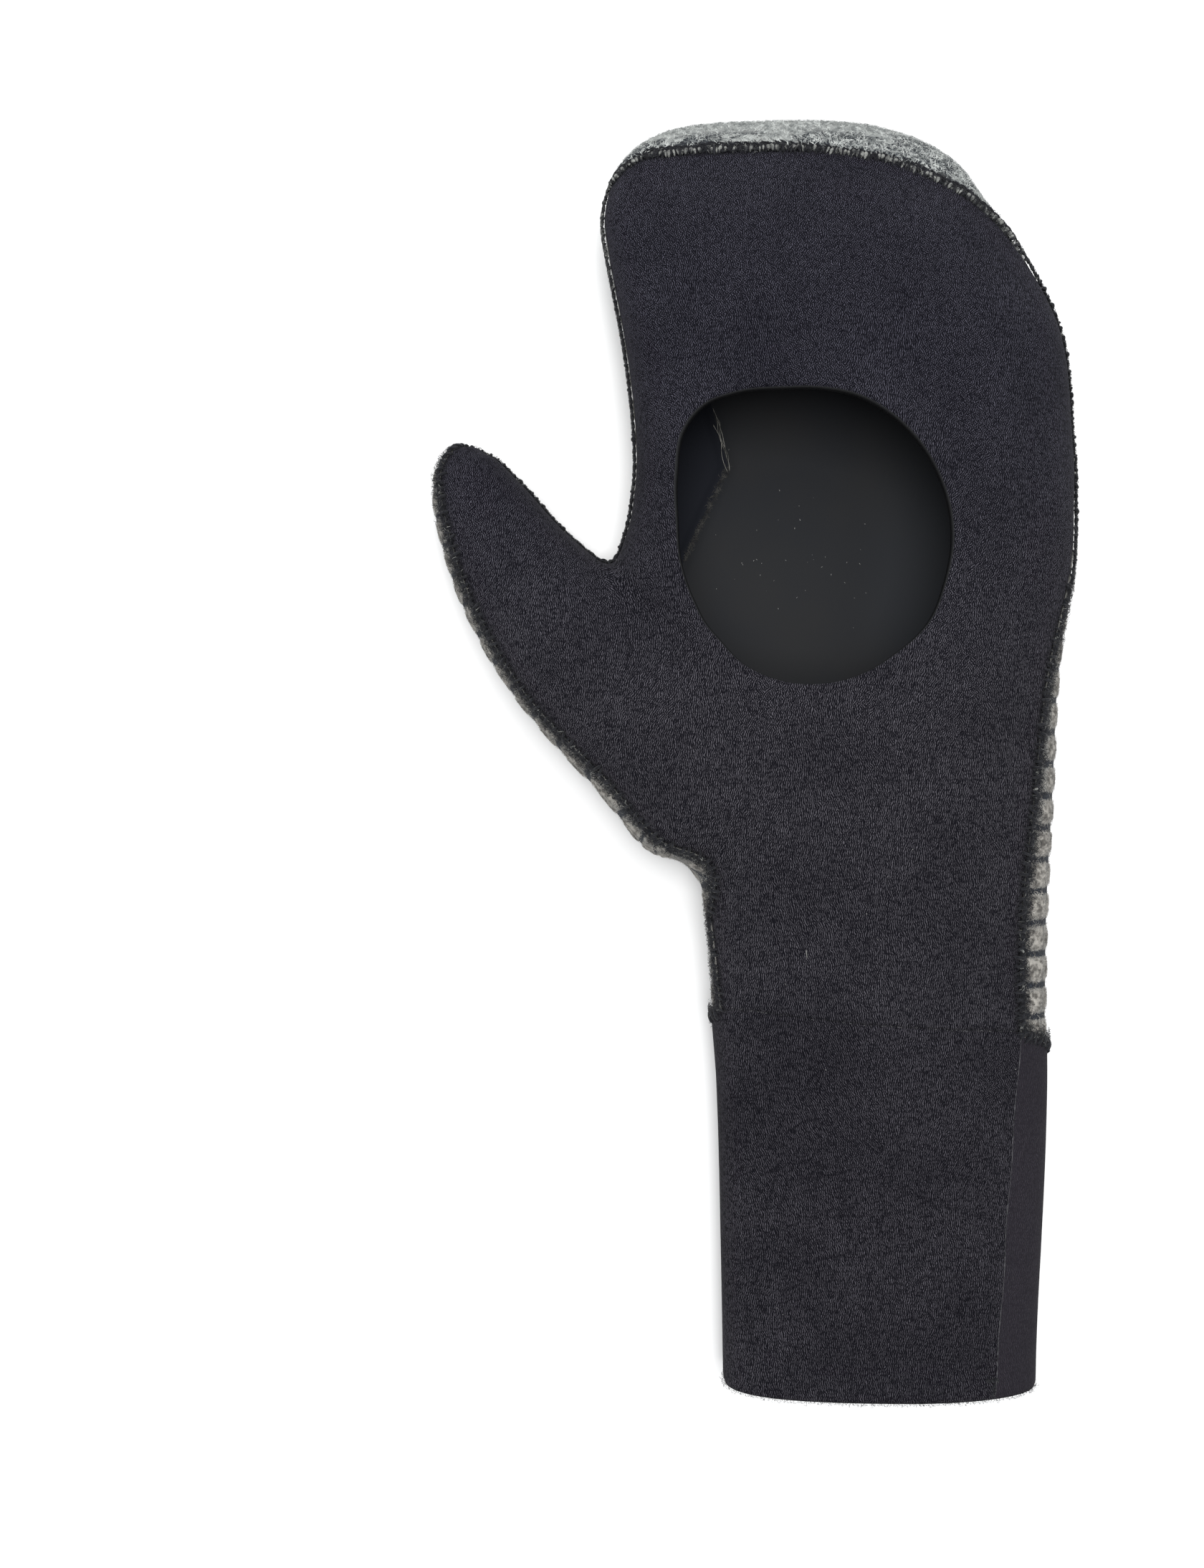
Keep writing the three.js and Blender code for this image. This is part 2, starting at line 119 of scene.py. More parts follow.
# %% Tables of the shape
BODY = np.array([
    # y, left, right, top, lift
    [-102.0, -39.7, 45.6, 24.0, 0.0],
    [-61.2, -40.6, 46.4, 25.0, 0.0],
    [-20.4, -41.6, 48.2, 27.0, 0.0],
    [0.0, -43.2, 47.8, 29.0, 0.0],
    [25.0, -44.6, 47.4, 32.0, 0.0],
    [60.0, -51.9, 48.3, 36.5, 0.0],
    [90.0, -60.2, 49.1, 39.5, 0.0],
    [117.6, -68.9, 52.0, 41.0, 0.0],
    [134.4, -65.5, 52.7, 41.0, 0.0],
    [150.0, -64.4, 52.7, 40.8, 0.0],
    [180.0, -67.5, 50.0, 38.0, 1.0],
    [205.0, -71.5, 38.7, 33.5, 3.0],
    [214.1, -72.6, 33.4, 31.0, 4.0],
    [222.0, -71.4, 27.5, 28.0, 5.0],
    [228.0, -68.6, 22.4, 25.6, 6.2],
    [233.0, -64.3, 15.5, 23.2, 7.8],
    [236.4, -59.5, 7.6, 21.0, 9.4],
    [239.0, -52.0, -3.2, 18.8, 11.2],
    [240.0, -43.0, -13.0, 16.5, 13.5],
])
THUMB = np.array([
    # x, y, half width, top, lift
    [-23.6, 43.2, 10.0, 25.9, 3.6],
    [-40.0, 61.9, 27.2, 36.0, 0.0],
    [-60.4, 79.9, 24.0, 33.1, 0.0],
    [-80.9, 100.1, 22.0, 29.2, 0.0],
    [-96.3, 119.0, 18.0, 25.2, 0.0],
    [-106.0, 136.1, 13.8, 22.5, 0.7],
    [-111.0, 146.9, 9.5, 19.4, 2.9],
    [-112.7, 151.7, 5.2, 16.2, 5.8],
    [-113.3, 153.6, 2.0, 13.7, 8.3],
])
SEAM = np.array([
    # y, left inset, right inset of the seam between palm and back (negative: on the back)
    [-31.0, 1.6, 9.6],
    [0.0, 1.6, 10.0],
    [25.0, 0.6, 10.3],
    [38.0, 1.6, 10.0],
    [45.6, 2.4, 9.6],
    [80.0, 0.0, 7.2],
    [96.0, 0.0, 5.6],
    [112.8, 0.0, 2.6],
    [120.0, -1.5, 1.4],
    [150.0, -5.5, 0.3],
    [170.0, -8.5, 0.3],
    [186.0, -9.8, 0.4],
    [199.0, -9.5, 1.4],
    [209.0, -6.5, 4.1],
    [216.0, -3.5, 8.2],
    [222.0, -0.2, 14.8],
    [226.8, 1.2, 23.0],
    [229.4, 4.5, 36.0],
    [231.1, 8.0, 50.0],
])
THUMB_SEAM = np.array([
    # share of the thumb's line, inset on the outer edge, inset on the edge by the fingers
    [0.040, 4.5, 0.0],
    [0.170, 4.2, 0.0],
    [0.340, 3.6, 0.0],
    [0.530, 3.0, 0.0],
    [0.600, 3.2, -2.0],
    [0.752, 3.4, -4.5],
    [0.868, 3.6, -6.5],
    [0.951, 3.0, -4.0],
    [1.017, 2.0, -2.0],
])
WRIST = np.array([
    # x, y of the wrist seam on the palm side, y on the back
    [-82.6, 4.0, -2.0],
    [-44.8, 3.0, -3.0],
    [-17.7, 0.5, -11.0],
    [5.9, -1.5, -14.0],
    [29.5, -3.0, -14.0],
    [46.0, -4.0, -13.0],
    [82.6, -5.0, -12.0],
])
HOLE_CENTRE = np.array([-19.5, 124.6])
HOLE_HALF = np.array([35.0, 37.5])
HOLE = np.array([
    # x and y round the centre, as shares of the hole's half sizes
    [0.994, -0.050], [0.966, 0.210], [0.883, 0.419], [0.746, 0.627], [0.549, 0.813],
    [0.320, 0.939], [0.043, 0.997], [-0.243, 1.003], [-0.574, 0.984], [-0.800, 0.915],
    [-0.960, 0.740], [-1.006, 0.467], [-1.000, 0.147], [-0.974, -0.147], [-0.880, -0.416],
    [-0.797, -0.571], [-0.683, -0.701], [-0.514, -0.859], [-0.237, -0.976], [0.043, -0.997],
    [0.326, -0.936], [0.603, -0.779], [0.831, -0.571], [0.943, -0.312],
]) * HOLE_HALF + HOLE_CENTRE
TIP_SEAM = 230.0
TOP_POWER = 2.4
UNDER_POWER = 2.9
print("rows:", len(BODY), "body,", len(THUMB), "thumb,", len(SEAM), "seam")


# %% [markdown]
# ## Reading the tables
#
# A cubic between rows with slopes taken from each row's neighbours keeps the curve smooth
# without overshooting much. Splines from a library would do as well; this one is the same
# rule as the CAD model's, so both shapes agree.

# %% Cubic through the rows of a table
def cubic(keys, values, at):
    """Value at each key: h00*v0 + h10*w*m0 + h01*v1 + h11*w*m1 between two rows, where w is
    the rows' distance and m the slope from the rows on either side."""
    keys = np.asarray(keys, float)
    values = np.asarray(values, float)
    low = np.maximum(np.arange(len(keys)) - 1, 0)
    high = np.minimum(np.arange(len(keys)) + 1, len(keys) - 1)
    slope = (values[high] - values[low]) / (keys[high] - keys[low])
    at = np.clip(at, keys[0], keys[-1])
    i = np.clip(np.searchsorted(keys, at, side="right") - 1, 0, len(keys) - 2)
    w = keys[i + 1] - keys[i]
    t = (at - keys[i]) / w
    t2 = t * t
    t3 = t2 * t
    return ((2 * t3 - 3 * t2 + 1) * values[i] + (t3 - 2 * t2 + t) * w * slope[i]
            + (3 * t2 - 2 * t3) * values[i + 1] + (t3 - t2) * w * slope[i + 1])


def column(table, number, at):
    """Cubic through one column of a table whose first column holds the keys."""
    return cubic(table[:, 0], table[:, number], at)


def unit(vectors):
    """The vectors brought to length 1."""
    return vectors / np.maximum(np.linalg.norm(vectors, axis=-1, keepdims=True), 1e-9)


def smooth_step(t):
    """A share t with level ends: t * t * (3 - 2 * t)."""
    return t * t * (3 - 2 * t)


def line_of_thumb(count=240):
    """Points, unit directions and shares of length along the thumb's middle line, whose
    coordinates are cubics of the chord length, then the table rows' shares and the length."""
    chord = np.concatenate([[0.0], np.cumsum(np.hypot(*np.diff(THUMB[:, :2], axis=0).T))])
    at = np.linspace(0, chord[-1], count)
    points = np.stack([cubic(chord, THUMB[:, 0], at), cubic(chord, THUMB[:, 1], at)], 1)
    way = unit(np.gradient(points, axis=0))
    length = np.concatenate([[0.0], np.cumsum(np.hypot(*np.diff(points, axis=0).T))])
    return points, way, length / length[-1], chord / chord[-1], length[-1]


LINE, LINE_WAY, LINE_SHARE, THUMB_SHARE, THUMB_LENGTH = line_of_thumb()
print("thumb line is", round(THUMB_LENGTH, 1), "mm long")
BLOCK = 20000


def thumb_place(x, y):
    """Share along the thumb's line, signed distance across it (positive towards the fingers),
    distance past its end and plain distance to it, for points seen from above."""
    x = np.asarray(x, float)
    flat = np.stack([x.ravel(), np.asarray(y, float).ravel()], 1)
    nearest = np.empty(len(flat), int)
    gap = np.empty(len(flat))
    for start in range(0, len(flat), BLOCK):
        block = slice(start, start + BLOCK)
        square = ((flat[block, None, :] - LINE[None, :, :]) ** 2).sum(2)
        nearest[block] = square.argmin(1)
        gap[block] = np.sqrt(square.min(1))
    delta = flat - LINE[nearest]
    way = LINE_WAY[nearest]
    along = (delta * way).sum(1)
    across = delta[:, 0] * way[:, 1] - delta[:, 1] * way[:, 0]
    share = LINE_SHARE[nearest] + along / THUMB_LENGTH
    past = np.where(nearest == len(LINE) - 1, along, -5.0)
    return [value.reshape(x.shape) for value in (share, across, past, gap)]


def hand_rows(y):
    """Left edge, right edge, top and underside of the hand at y."""
    left, right, top, lift = [column(BODY, c, y) for c in range(1, 5)]
    return left, right, top, np.maximum(lift, 0)


def thumb_rows(share):
    """Half width, top and underside of the thumb at a share of its line."""
    half, top, lift = [cubic(THUMB_SHARE, THUMB[:, c], share) for c in (2, 3, 4)]
    return half, top, np.maximum(lift, 0)


def waist_height(top, lift):
    """The height at which a section is widest."""
    return lift + 0.45 * (top - lift)


# %% [markdown]
# ## One field for the whole bag
#
# Seen as solids, hand and thumb are two rounded tubes that run into each other. A mesh
# patch for each would leave a crease where they meet. A field that says how far
# every point is from the cloth can be blended smoothly at the root of the thumb instead,
# and one surface is then drawn where the field is zero.

# %% The distance field
STEP = 1.05
THUMB_BLEND = 7.0
THUMB_REACH = 40.0


def section_excess(across, z, half, top, lift):
    """How far a point is outside a section, as a ratio: the p-norm of (across/half,
    height from the waist/height of that side), with a flatter power underneath."""
    waist = waist_height(top, lift)
    u = np.abs(across) / half
    up = np.maximum(z - waist, 0) / (top - waist)
    down = np.maximum(waist - z, 0) / (1.05 * (waist - lift))
    upper = (u ** TOP_POWER + up ** TOP_POWER) ** (1 / TOP_POWER)
    under = (u ** UNDER_POWER + down ** UNDER_POWER) ** (1 / UNDER_POWER)
    return np.where(z > waist, upper, under)


def as_distance(ratio, step):
    """(ratio - 1) over the length of its slope: a distance in mm near the surface."""
    slopes = np.gradient(ratio, step)
    size = np.sqrt(sum(s * s for s in slopes))
    return (ratio - 1) / np.maximum(size, 1e-3)


def smooth_least(a, b, reach):
    """Smallest of a and b with the corner rounded: mix(b, a, h) - reach*h*(1-h), where
    h = 0.5 + 0.5*(b-a)/reach between 0 and 1."""
    h = np.clip(0.5 + 0.5 * (b - a) / reach, 0, 1)
    return b + (a - b) * h - reach * h * (1 - h)


def ripples(x, y, z):
    """Slow swellings of soft cloth, in mm: a few crossed sines of different lengths."""
    return (0.35 * np.sin(x / 17.0 + 1.3 * np.sin(y / 31.0)) * np.sin(y / 23.0 + z / 19.0)
            + 0.22 * np.sin(x / 9.5 - y / 14.0 + 2.0) * np.cos(z / 11.0 + y / 37.0))


def bag_field(step):
    """Distance to the cloth on a regular grid: hand and thumb blended, cut flat by the
    floor. Also returns the two parts, for telling later which one a point is on."""
    x = np.arange(-126.0, 62.0, step)
    y = np.arange(-107.0, 246.0, step)
    z = np.arange(-2.6, 46.0, step)
    left, right, top, lift = [row[None, :, None] for row in hand_rows(y)]
    gx, gy, gz = x[:, None, None], y[None, :, None], z[None, None, :]
    ratio = section_excess(gx - (left + right) / 2, gz, (right - left) / 2, top, lift)
    body = np.maximum(as_distance(ratio, step), gy - HAND_LENGTH)
    body = np.maximum(body, lift - gz)
    share, across, past, gap = thumb_place(*np.meshgrid(x, y, indexing="ij"))
    half, high, low = [row[:, :, None] for row in thumb_rows(share)]
    ratio = section_excess(across[:, :, None], gz, half, high, low)
    thumb = np.maximum(as_distance(ratio, step), past[:, :, None])
    thumb = np.maximum(thumb, low - gz)
    away = ((share < 0) | (gap > THUMB_REACH))[:, :, None]
    thumb = np.where(away, np.maximum(thumb, 20.0), thumb)
    whole = smooth_least(body, thumb, THUMB_BLEND) + ripples(gx, gy, gz)
    whole = np.maximum(whole, -gz)
    return (x, y, z), whole.astype(np.float32), (body - thumb).astype(np.float32)


GRID, FIELD, PARTS = bag_field(STEP)
print("field:", FIELD.shape, "cells of", STEP, "mm")


# %% [markdown]
# ## Drawing the surface
#
# Surface nets put one point in each grid cell that the surface crosses and join
# neighbours into quads. Marching cubes would give slivers; the net's quads are nearly
# square, which suits cloth. Each point is then moved on to the surface itself.

# %% Surface net
def sample(values, points):
    """Value of a gridded field at points, by weighting the eight corners around each."""
    place = [(points[:, a] - GRID[a][0]) / STEP for a in range(3)]
    cell = [np.clip(np.floor(p).astype(int), 0, len(GRID[a]) - 2) for a, p in enumerate(place)]
    part = [np.clip(p - c, 0, 1) for p, c in zip(place, cell)]
    total = np.zeros(len(points))
    for i in (0, 1):
        for j in (0, 1):
            for k in (0, 1):
                weight = ((part[0] if i else 1 - part[0]) * (part[1] if j else 1 - part[1])
                          * (part[2] if k else 1 - part[2]))
                total += weight * values[cell[0] + i, cell[1] + j, cell[2] + k]
    return total


def slope(function, points, reach):
    """Gradient of a function of points by differences a small way along each axis."""
    out = np.empty((len(points), 3))
    for a in range(3):
        move = np.zeros(3)
        move[a] = reach
        out[:, a] = (function(points + move) - function(points - move)) / (2 * reach)
    return out


def on_field(points):
    return sample(FIELD, points)


def outward(points, reach=1.0):
    """Unit normals of the cloth near points, from the slope of the field."""
    return unit(slope(on_field, points, reach))


def settle(points, rounds=3):
    """Moves points along the field's slope until they lie on the cloth."""
    for _ in range(rounds):
        way = slope(on_field, points, 0.8)
        size = np.maximum((way * way).sum(1), 1e-6)
        points = points - way * (on_field(points) / size)[:, None]
    return points


def surface_net(values):
    """Points and quads of the surface where the gridded values are zero."""
    shape = np.array(values.shape)
    total = np.zeros((*(shape - 1), 3), np.float32)
    count = np.zeros(shape - 1, np.float32)
    inside = values < 0
    crossings = []
    for a in range(3):
        first = [slice(None)] * 3
        second = [slice(None)] * 3
        first[a] = slice(0, -1)
        second[a] = slice(1, None)
        v0, v1 = values[tuple(first)], values[tuple(second)]
        where = np.argwhere(inside[tuple(first)] != inside[tuple(second)])
        index = tuple(where.T)
        share = v0[index] / (v0[index] - v1[index])
        spot = where.astype(np.float32)
        spot[:, a] += share
        others = [o for o in range(3) if o != a]
        for s in (0, -1):
            for t in (0, -1):
                cell = where.copy()
                cell[:, others[0]] += s
                cell[:, others[1]] += t
                good = ((cell >= 0) & (cell < shape - 1)).all(1)
                np.add.at(total, tuple(cell[good].T), spot[good])
                np.add.at(count, tuple(cell[good].T), 1)
        crossings.append((a, others, where, inside[tuple(first)][index]))
    used = count > 0
    number = np.full(used.shape, -1)
    number[used] = np.arange(used.sum())
    points = total[used] / count[used][:, None]
    quads = []
    for a, others, where, starts_inside in crossings:
        ok = ((where[:, others] > 0) & (where[:, others] < shape[others] - 1)).all(1)
        base = where[ok]
        ring = []
        for s, t in ((-1, -1), (0, -1), (0, 0), (-1, 0)):
            cell = base.copy()
            cell[:, others[0]] += s
            cell[:, others[1]] += t
            ring.append(number[tuple(cell.T)])
        ring = np.stack(ring, 1)
        flip = starts_inside[ok] if a != 1 else ~starts_inside[ok]
        ring[~flip] = ring[~flip][:, ::-1]
        quads.append(ring)
    origin = np.array([axis[0] for axis in GRID])
    return points * STEP + origin, np.concatenate(quads)


def neighbours(count, faces):
    """The mean of each point's neighbours along the faces' edges, as a function."""
    a = faces.ravel()
    b = np.roll(faces, -1, axis=1).ravel()
    ends = np.concatenate([a, b])
    others = np.concatenate([b, a])
    number = np.maximum(np.bincount(ends, minlength=count), 1)

    def mean(points):
        return np.stack([np.bincount(ends, points[others, c], minlength=count) / number
                         for c in range(3)], 1)
    return mean


POINTS, QUADS = surface_net(FIELD)
mean = neighbours(len(POINTS), QUADS)
for _ in range(3):
    POINTS = settle(0.5 * POINTS + 0.5 * mean(POINTS), rounds=1)
POINTS = settle(POINTS)
print("surface:", len(POINTS), "points,", len(QUADS), "quads")
print("left over from zero:", round(float(np.abs(on_field(POINTS)).max()), 3), "mm")


# %% [markdown]
# ## Where one cloth ends and the next begins
#
# The seam between palm and back runs along the edge of the mitt. Each side of a section has
# a ray from a point inside the rounded edge through the seam, and the sign of the
# distance to that ray says which cloth a point belongs to. The same rule holds across the
# thumb. The wrist seam is a height along y, and the palm hole is a radius around its centre.

# %% Rules for the seams
def ray_side(across, z, half, top, lift, inset):
    """Signed distance to the seam ray of one side of a section, positive on the palm."""
    waist = waist_height(top, lift)
    share = np.clip((half - np.abs(inset)) / half, 0, 1)
    power = np.where(inset >= 0, TOP_POWER, UNDER_POWER)
    rise = (1 - share ** power) ** (1 / power)
    height = np.where(inset >= 0, waist + (top - waist) * rise, waist - (waist - lift) * rise)
    seam = half - np.abs(inset)
    core = np.minimum(half - 0.42 * (top - lift), seam - 0.6)
    run_x, run_z = seam - core, height - waist
    size = np.hypot(run_x, run_z)
    beyond = -run_z / size * (across - core) + run_x / size * (z - waist)
    return np.where(across > core, beyond, z - waist)


def palm_side(points):
    """Positive on the palm cloth, negative on the back, about in mm from the seam."""
    x, y, z = points.T
    left, right, top, lift = hand_rows(y)
    half = (right - left) / 2
    across = x - (right + left) / 2
    hand = np.minimum(ray_side(across, z, half, top, lift, column(SEAM, 2, y)),
                      ray_side(-across, z, half, top, lift, column(SEAM, 1, y)))
    hand = np.minimum(hand, TIP_SEAM - y)
    share, over, _, _ = thumb_place(x, y)
    half, high, low = thumb_rows(share)
    thumb = np.minimum(ray_side(-over, z, half, high, low, column(THUMB_SEAM, 1, share)),
                       ray_side(over, z, half, high, low, column(THUMB_SEAM, 2, share)))
    on_hand = np.clip(0.5 - sample(PARTS, points) / 16.0, 0, 1)
    return on_hand * hand + (1 - on_hand) * thumb


def wrist_side(points):
    """Positive on the fingers' side of the wrist seam, in mm."""
    x, y, z = points.T
    back = column(WRIST, 2, x)
    up = np.clip((z - 4.1) / 20.5, 0, 1)
    return y - (back + (column(WRIST, 1, x) - back) * up)


from_centre = HOLE - HOLE_CENTRE
hole_angle = np.unwrap(np.arctan2(from_centre[:, 1], from_centre[:, 0]))
hole_radius = np.hypot(from_centre[:, 0], from_centre[:, 1])
hole_keys = np.concatenate([hole_angle[-3:] - 2 * np.pi, hole_angle, hole_angle[:3] + 2 * np.pi])
hole_values = np.concatenate([hole_radius[-3:], hole_radius, hole_radius[:3]])


def hole_side(points):
    """Positive outside the palm hole, in mm, on the upper half of the mitt."""
    delta = points[:, :2] - HOLE_CENTRE
    angle = np.arctan2(delta[:, 1], delta[:, 0])
    angle = np.where(angle < hole_keys[0], angle + 2 * np.pi, angle)
    angle = np.where(angle > hole_keys[-1], angle - 2 * np.pi, angle)
    distance = np.hypot(*delta.T) - cubic(hole_keys, hole_values, angle)
    return np.where(points[:, 2] > UPPER_HALF, distance, 50.0)


def rim_side(points):
    """Positive on the mitt's side of the open rim of the cuff."""
    return points[:, 1] + CUFF_LENGTH


centres = POINTS[QUADS].mean(1)
PALM, WRIST_AT, HOLE_AT = palm_side(centres), wrist_side(centres), hole_side(centres)
RIM_AT = rim_side(centres)
print("faces: palm", int((PALM > 0).sum()), "hand", int((WRIST_AT > 0).sum()))


# %% [markdown]
# ## Cutting a piece of cloth out of the surface
#
# A piece takes the faces on its side of each rule. Its edge is then a staircase of
# quads, so the points on the edge slide along the surface on to the rule's zero line, and
# the rows beside it are evened out. Splitting the quads along the line is the other way, but
# sliding keeps every face a quad.

# %% Pieces with clean edges
def open_edges(faces, count):
    """First and second points of the edges that belong to one face only, each edge in the
    direction in which its face goes round."""
    a = faces.ravel()
    b = np.roll(faces, -1, axis=1).ravel()
    key = np.minimum(a, b).astype(np.int64) * count + np.maximum(a, b)
    _, first, number = np.unique(key, return_index=True, return_counts=True)
    once = first[number == 1]
    return a[once], b[once]


def biggest_part(faces, count):
    """The largest connected set of the faces, so that stray crumbs are left out."""
    label = np.arange(count)
    for _ in range(400):
        low = label[faces].min(1)
        new = label.copy()
        np.minimum.at(new, faces.ravel(), np.repeat(low, faces.shape[1]))
        new = new[new]
        if (new == label).all():
            break
        label = new
    root = label[faces[:, 0]]
    values, number = np.unique(root, return_counts=True)
    return faces[root == values[number.argmax()]]


def cut_piece(mask, rules):
    """Points and quads of the faces in mask, with their open edges slid on to whichever
    rule's zero line is nearest."""
    faces = biggest_part(QUADS[mask], len(POINTS))
    used, faces = np.unique(faces, return_inverse=True)
    faces = faces.reshape(-1, 4)
    points = POINTS[used].copy()
    edge = np.zeros(len(points), bool)
    edge[np.concatenate(open_edges(faces, len(points)))] = True
    nearest = np.abs(np.stack([rule(points[edge]) for rule in rules], 1)).argmin(1)
    mean = neighbours(len(points), faces)
    for _ in range(6):
        spots = points[edge]
        for r, rule in enumerate(rules):
            pick = nearest == r
            part = spots[pick]
            if len(part) == 0:
                continue
            normal = outward(part, 0.8)
            way = slope(rule, part, 0.25)
            way -= normal * (way * normal).sum(1, keepdims=True)
            size = np.maximum((way * way).sum(1), 0.05)
            move = -way * (rule(part) / size)[:, None]
            length = np.linalg.norm(move, axis=1, keepdims=True)
            spots[pick] = part + move * np.minimum(1, 1.0 / np.maximum(length, 1e-6))
        points[edge] = settle(spots, rounds=1)
        smooth = 0.6 * points + 0.4 * mean(points)
        points[~edge] = smooth[~edge]
        points[~edge] = settle(points[~edge], rounds=1)
    return points, faces


def corner_normals(points, faces):
    """Unit normals of the points: the sum of the normals of the faces around each, or the
    slope of the field where a thin face folded over at an edge turns that sum round."""
    a, b, c, d = (points[faces[:, i]] for i in range(4))
    normal = np.cross(c - a, d - b)
    total = np.stack([np.bincount(faces.ravel(), np.repeat(normal[:, k], 4),
                                  minlength=len(points)) for k in range(3)], 1)
    total = unit(total)
    way = outward(points)
    turned = (total * way).sum(1) < 0.2
    return np.where(turned[:, None], way, total)


def shell(outer, inner, faces):
    """A closed sheet of cloth: outer faces, inner faces turned over, and a strip of quads
    joining their open edges."""
    count = len(outer)
    a, b = open_edges(faces, count)
    strip = np.stack([b, a, a + count, b + count], 1)
    return (np.concatenate([outer, inner]),
            np.concatenate([faces, faces[:, ::-1] + count, strip]))


palm_points, palm_faces = cut_piece(
    (PALM > 0) & (WRIST_AT > 0) & (HOLE_AT > 0), [palm_side, wrist_side, hole_side])
back_points, back_faces = cut_piece((PALM < 0) & (WRIST_AT > 0), [palm_side, wrist_side])
cuff_points, cuff_faces = cut_piece((WRIST_AT < 0) & (RIM_AT > 0), [wrist_side, rim_side])
for name, points, faces in (("palm", palm_points, palm_faces), ("back", back_points, back_faces),
                            ("cuff", cuff_points, cuff_faces)):
    print(name, len(points), "points", len(faces), "quads",
          "from", np.round(points.min(0), 1).tolist(), "to", np.round(points.max(0), 1).tolist())


# %% [markdown]
# ## Shader arithmetic
#
# Materials here are sums and products of a few textures. A small class that wraps a
# socket and turns + and * into Math nodes lets each material read like its formula.

# %% Shader helper
def feed(tree, entry, value):
    """Links a Value to a node's input, or sets the input to a fixed number or colour."""
    if isinstance(value, Value):
        tree.links.new(value.socket, entry)
    else:
        entry.default_value = value


def opaque(colour):
    """A colour with its alpha; a Value stays as it is."""
    return colour if isinstance(colour, Value) else (*colour, 1.0)


class Value:
    """A number in a shader: adding, multiplying and so on makes Math nodes."""

    def __init__(self, tree, socket):
        self.tree = tree
        self.socket = socket

    def math(self, operation, *others):
        node = self.tree.nodes.new("ShaderNodeMath")
        node.operation = operation
        for entry, value in zip(node.inputs, (self, *others)):
            feed(self.tree, entry, value)
        return Value(self.tree, node.outputs[0])

    def __add__(self, other):
        return self.math("ADD", other)

    def __sub__(self, other):
        return self.math("SUBTRACT", other)

    def __mul__(self, other):
        return self.math("MULTIPLY", other)

    def __truediv__(self, other):
        return self.math("DIVIDE", other)

    def __rsub__(self, other):
        return (self * -1.0) + other

    __radd__ = __add__
    __rmul__ = __mul__

    def within(self, low, high):
        """0 at low, 1 at high, smooth between (also for low above high)."""
        node = self.tree.nodes.new("ShaderNodeMapRange")
        node.interpolation_type = "SMOOTHSTEP"
        self.tree.links.new(self.socket, node.inputs["Value"])
        rising = low < high
        node.inputs["From Min"].default_value = low if rising else high
        node.inputs["From Max"].default_value = high if rising else low
        node.inputs["To Min"].default_value = 0.0 if rising else 1.0
        node.inputs["To Max"].default_value = 1.0 if rising else 0.0
        return Value(self.tree, node.outputs["Result"])


class Paint:
    """A material under construction, with short ways to add the nodes used here."""

    def __init__(self, name):
        self.material = bpy.data.materials.new(name)
        self.material.use_nodes = True
        self.tree = self.material.node_tree
        self.surface = self.tree.nodes["Principled BSDF"]

    def node(self, kind, output, inputs=None, **settings):
        """Adds any other node, sets its inputs and settings, and returns one output."""
        node = self.tree.nodes.new(kind)
        for key, value in settings.items():
            setattr(node, key, value)
        for key, value in (inputs or {}).items():
            feed(self.tree, node.inputs[key], value)
        return Value(self.tree, node.outputs[output])

    def place(self):
        """Object coordinates, in millimetres."""
        return self.stretch(self.node("ShaderNodeTexCoord", "Object"), (1000.0, 1000.0, 1000.0))

    def cloth_place(self):
        """Coordinates along the cloth, in millimetres, from the piece's own UV map."""
        spot = self.node("ShaderNodeUVMap", "UV", uv_map="cloth")
        return self.stretch(spot, (1000.0, 1000.0, 1000.0))

    def parts(self, vector):
        """The three numbers of a vector."""
        node = self.tree.nodes.new("ShaderNodeSeparateXYZ")
        self.tree.links.new(vector.socket, node.inputs[0])
        return [Value(self.tree, out) for out in node.outputs]

    def stretch(self, vector, scale):
        """The vector times a scale of its own along each axis."""
        return self.node("ShaderNodeVectorMath", "Vector", {0: vector, 1: scale},
                         operation="MULTIPLY")

    def noise(self, vector, scale, detail=2.0, rough=0.5, distort=0.0):
        return self.node("ShaderNodeTexNoise", "Fac", {
            "Vector": vector, "Scale": scale, "Detail": detail, "Roughness": rough,
            "Distortion": distort})

    def blend(self, low, high, amount):
        """Colour from low to high by amount."""
        node = self.tree.nodes.new("ShaderNodeMix")
        node.data_type = "RGBA"
        for entry, value in ((node.inputs[6], low), (node.inputs[7], high)):
            feed(self.tree, entry, opaque(value))
        feed(self.tree, node.inputs[0], amount)
        return Value(self.tree, node.outputs[2])

    def finish(self, colour, rough, height=None, depth=0.0, strength=1.0, **fixed):
        """Connects colour, roughness and bump to the surface, and sets fixed numbers."""
        feed(self.tree, self.surface.inputs["Base Color"], opaque(colour))
        feed(self.tree, self.surface.inputs["Roughness"], rough)
        if height is not None:
            bump = self.node("ShaderNodeBump", "Normal", {
                "Height": height, "Distance": depth, "Strength": strength})
            self.tree.links.new(bump.socket, self.surface.inputs["Normal"])
        for key, value in fixed.items():
            self.surface.inputs[key.replace("_", " ")].default_value = value
        return self.material
